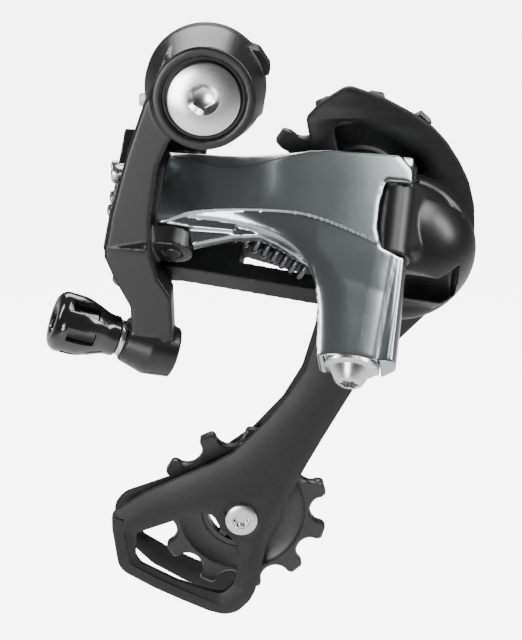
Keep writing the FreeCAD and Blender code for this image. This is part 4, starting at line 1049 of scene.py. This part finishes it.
# Add-on ----------------------------------------------------------------------------------------
class DerailleurLook(bpy.types.PropertyGroup):
    black: FloatVectorProperty(name="Black", description="Colour of the black paint and resin",
                               default=(0.008, 0.008, 0.0082), subtype="COLOR", min=0, max=1)
    link_colour: FloatVectorProperty(name="Link Colour", description="Colour of the outer link",
                                     default=(0.36, 0.40, 0.40), subtype="COLOR", min=0, max=1)
    skin: FloatProperty(name="Skin Detail", default=0.38,
                        description="Cell size of a cast piece's skin, in millimetres")
    link_front: FloatProperty(name="Link Front", default=6.8,
                              description="The outer link's face before its pins, in mm")
    link_floor: FloatProperty(name="Link Floor", default=3.4,
                              description="How deep the outer link's shaping reaches, in mm")
    flats: IntProperty(name="Knob Flats", default=6, description="Flats round the adjuster knob")
    floor_drop: FloatProperty(name="Floor Drop", default=0.08, subtype="DISTANCE",
                              description="Height of the object above the floor")
    fill: FloatProperty(name="Fill Light", default=0.07, description="Strength of the sky light")
    floor_glow: FloatProperty(name="Floor Glow", default=0.12,
                              description="Brightness of the floor in the object's reflections")
    backdrop: FloatProperty(name="Backdrop", default=6.0,
                            description="Brightness of the background in the picture")
    light: FloatProperty(name="Light", default=1.15, description="Share of the lamps' power")
    lens: FloatProperty(name="Lens", default=105.0, description="Focal length in millimetres")


def look_of(context):
    return context.scene.derailleur_look


class DERAILLEUR_OT_finishes(bpy.types.Operator):
    """Make every material"""
    bl_idname = "derailleur.finishes"
    bl_label = "Finishes"

    def execute(self, context):
        FINISH.update(finishes(look_of(context)))
        return {"FINISHED"}


class DERAILLEUR_OT_bracket(bpy.types.Operator):
    """Add the bracket's casting and the hanger bolt"""
    bl_idname = "derailleur.bracket"
    bl_label = "Bracket"

    def execute(self, context):
        bracket(look_of(context))
        hanger_bolt()
        return {"FINISHED"}


class DERAILLEUR_OT_links(bpy.types.Operator):
    """Add both links and the return spring"""
    bl_idname = "derailleur.links"
    bl_label = "Links"

    def execute(self, context):
        outer_link(look_of(context))
        inner_link()
        wound_spring()
        return {"FINISHED"}


class DERAILLEUR_OT_carrier(bpy.types.Operator):
    """Add the cage's carrier"""
    bl_idname = "derailleur.carrier"
    bl_label = "Cage Carrier"

    def execute(self, context):
        carrier(look_of(context))
        return {"FINISHED"}


class DERAILLEUR_OT_cage(bpy.types.Operator):
    """Add the cage's two plates and the pulleys' bolts"""
    bl_idname = "derailleur.cage"
    bl_label = "Cage"

    def execute(self, context):
        outer_plate()
        inner_plate()
        pulley_bolt("tension_bolt_turned", "tension_pulley_bolt", TENSION, True)
        pulley_bolt("guide_bolt_turned", "guide_pulley_bolt", GUIDE, False)
        return {"FINISHED"}


class DERAILLEUR_OT_pulleys(bpy.types.Operator):
    """Add the guide pulley and the tension pulley"""
    bl_idname = "derailleur.pulleys"
    bl_label = "Pulleys"

    def execute(self, context):
        pulley("guide_pulley_wheel", "guide_pulley", "guide_pulley", GUIDE, 24.9,
               math.radians(-17.3))
        pulley("tension_pulley_wheel", "tension_pulley", "tension_pulley", TENSION, 23.2,
               math.radians(-16.8))
        return {"FINISHED"}


class DERAILLEUR_OT_cable(bpy.types.Operator):
    """Add the adjuster's knob and the cable clamp's bolt"""
    bl_idname = "derailleur.cable"
    bl_label = "Cable Parts"

    def execute(self, context):
        adjuster(look_of(context))
        clamp_bolt()
        return {"FINISHED"}


class DERAILLEUR_OT_kept(bpy.types.Operator):
    """Finish the nodes whose own shape stays"""
    bl_idname = "derailleur.kept"
    bl_label = "Small Parts"

    def execute(self, context):
        for node, edge in KEPT.items():
            refinish(node, edge)
        return {"FINISHED"}


class DERAILLEUR_OT_stage(bpy.types.Operator):
    """Add the floor, the lights and the camera"""
    bl_idname = "derailleur.stage"
    bl_label = "Studio"

    def execute(self, context):
        studio(look_of(context))
        return {"FINISHED"}


OPERATORS = (DERAILLEUR_OT_finishes, DERAILLEUR_OT_stage, DERAILLEUR_OT_bracket,
             DERAILLEUR_OT_links, DERAILLEUR_OT_carrier, DERAILLEUR_OT_cage,
             DERAILLEUR_OT_pulleys, DERAILLEUR_OT_cable, DERAILLEUR_OT_kept)


class DERAILLEUR_PT_sidebar(bpy.types.Panel):
    """The derailleur's sizes, colours and pieces"""
    bl_idname = "DERAILLEUR_PT_sidebar"
    bl_label = "Derailleur"
    bl_space_type = "VIEW_3D"
    bl_region_type = "UI"
    bl_category = "Derailleur"

    def draw(self, context):
        for name in DerailleurLook.__annotations__:
            self.layout.prop(look_of(context), name)
        for operator in OPERATORS:
            self.layout.operator(operator.bl_idname)


def register():
    for kind in (DerailleurLook, *OPERATORS, DERAILLEUR_PT_sidebar):
        bpy.utils.register_class(kind)
    bpy.types.Scene.derailleur_look = PointerProperty(type=DerailleurLook)


def unregister():
    del bpy.types.Scene.derailleur_look
    for kind in (DERAILLEUR_PT_sidebar, *reversed(OPERATORS), DerailleurLook):
        bpy.utils.unregister_class(kind)


def main():
    register()
    for operator in OPERATORS:
        family, action = operator.bl_idname.split(".")
        getattr(getattr(bpy.ops, family), action)()


if __name__ == "__main__":
    main()
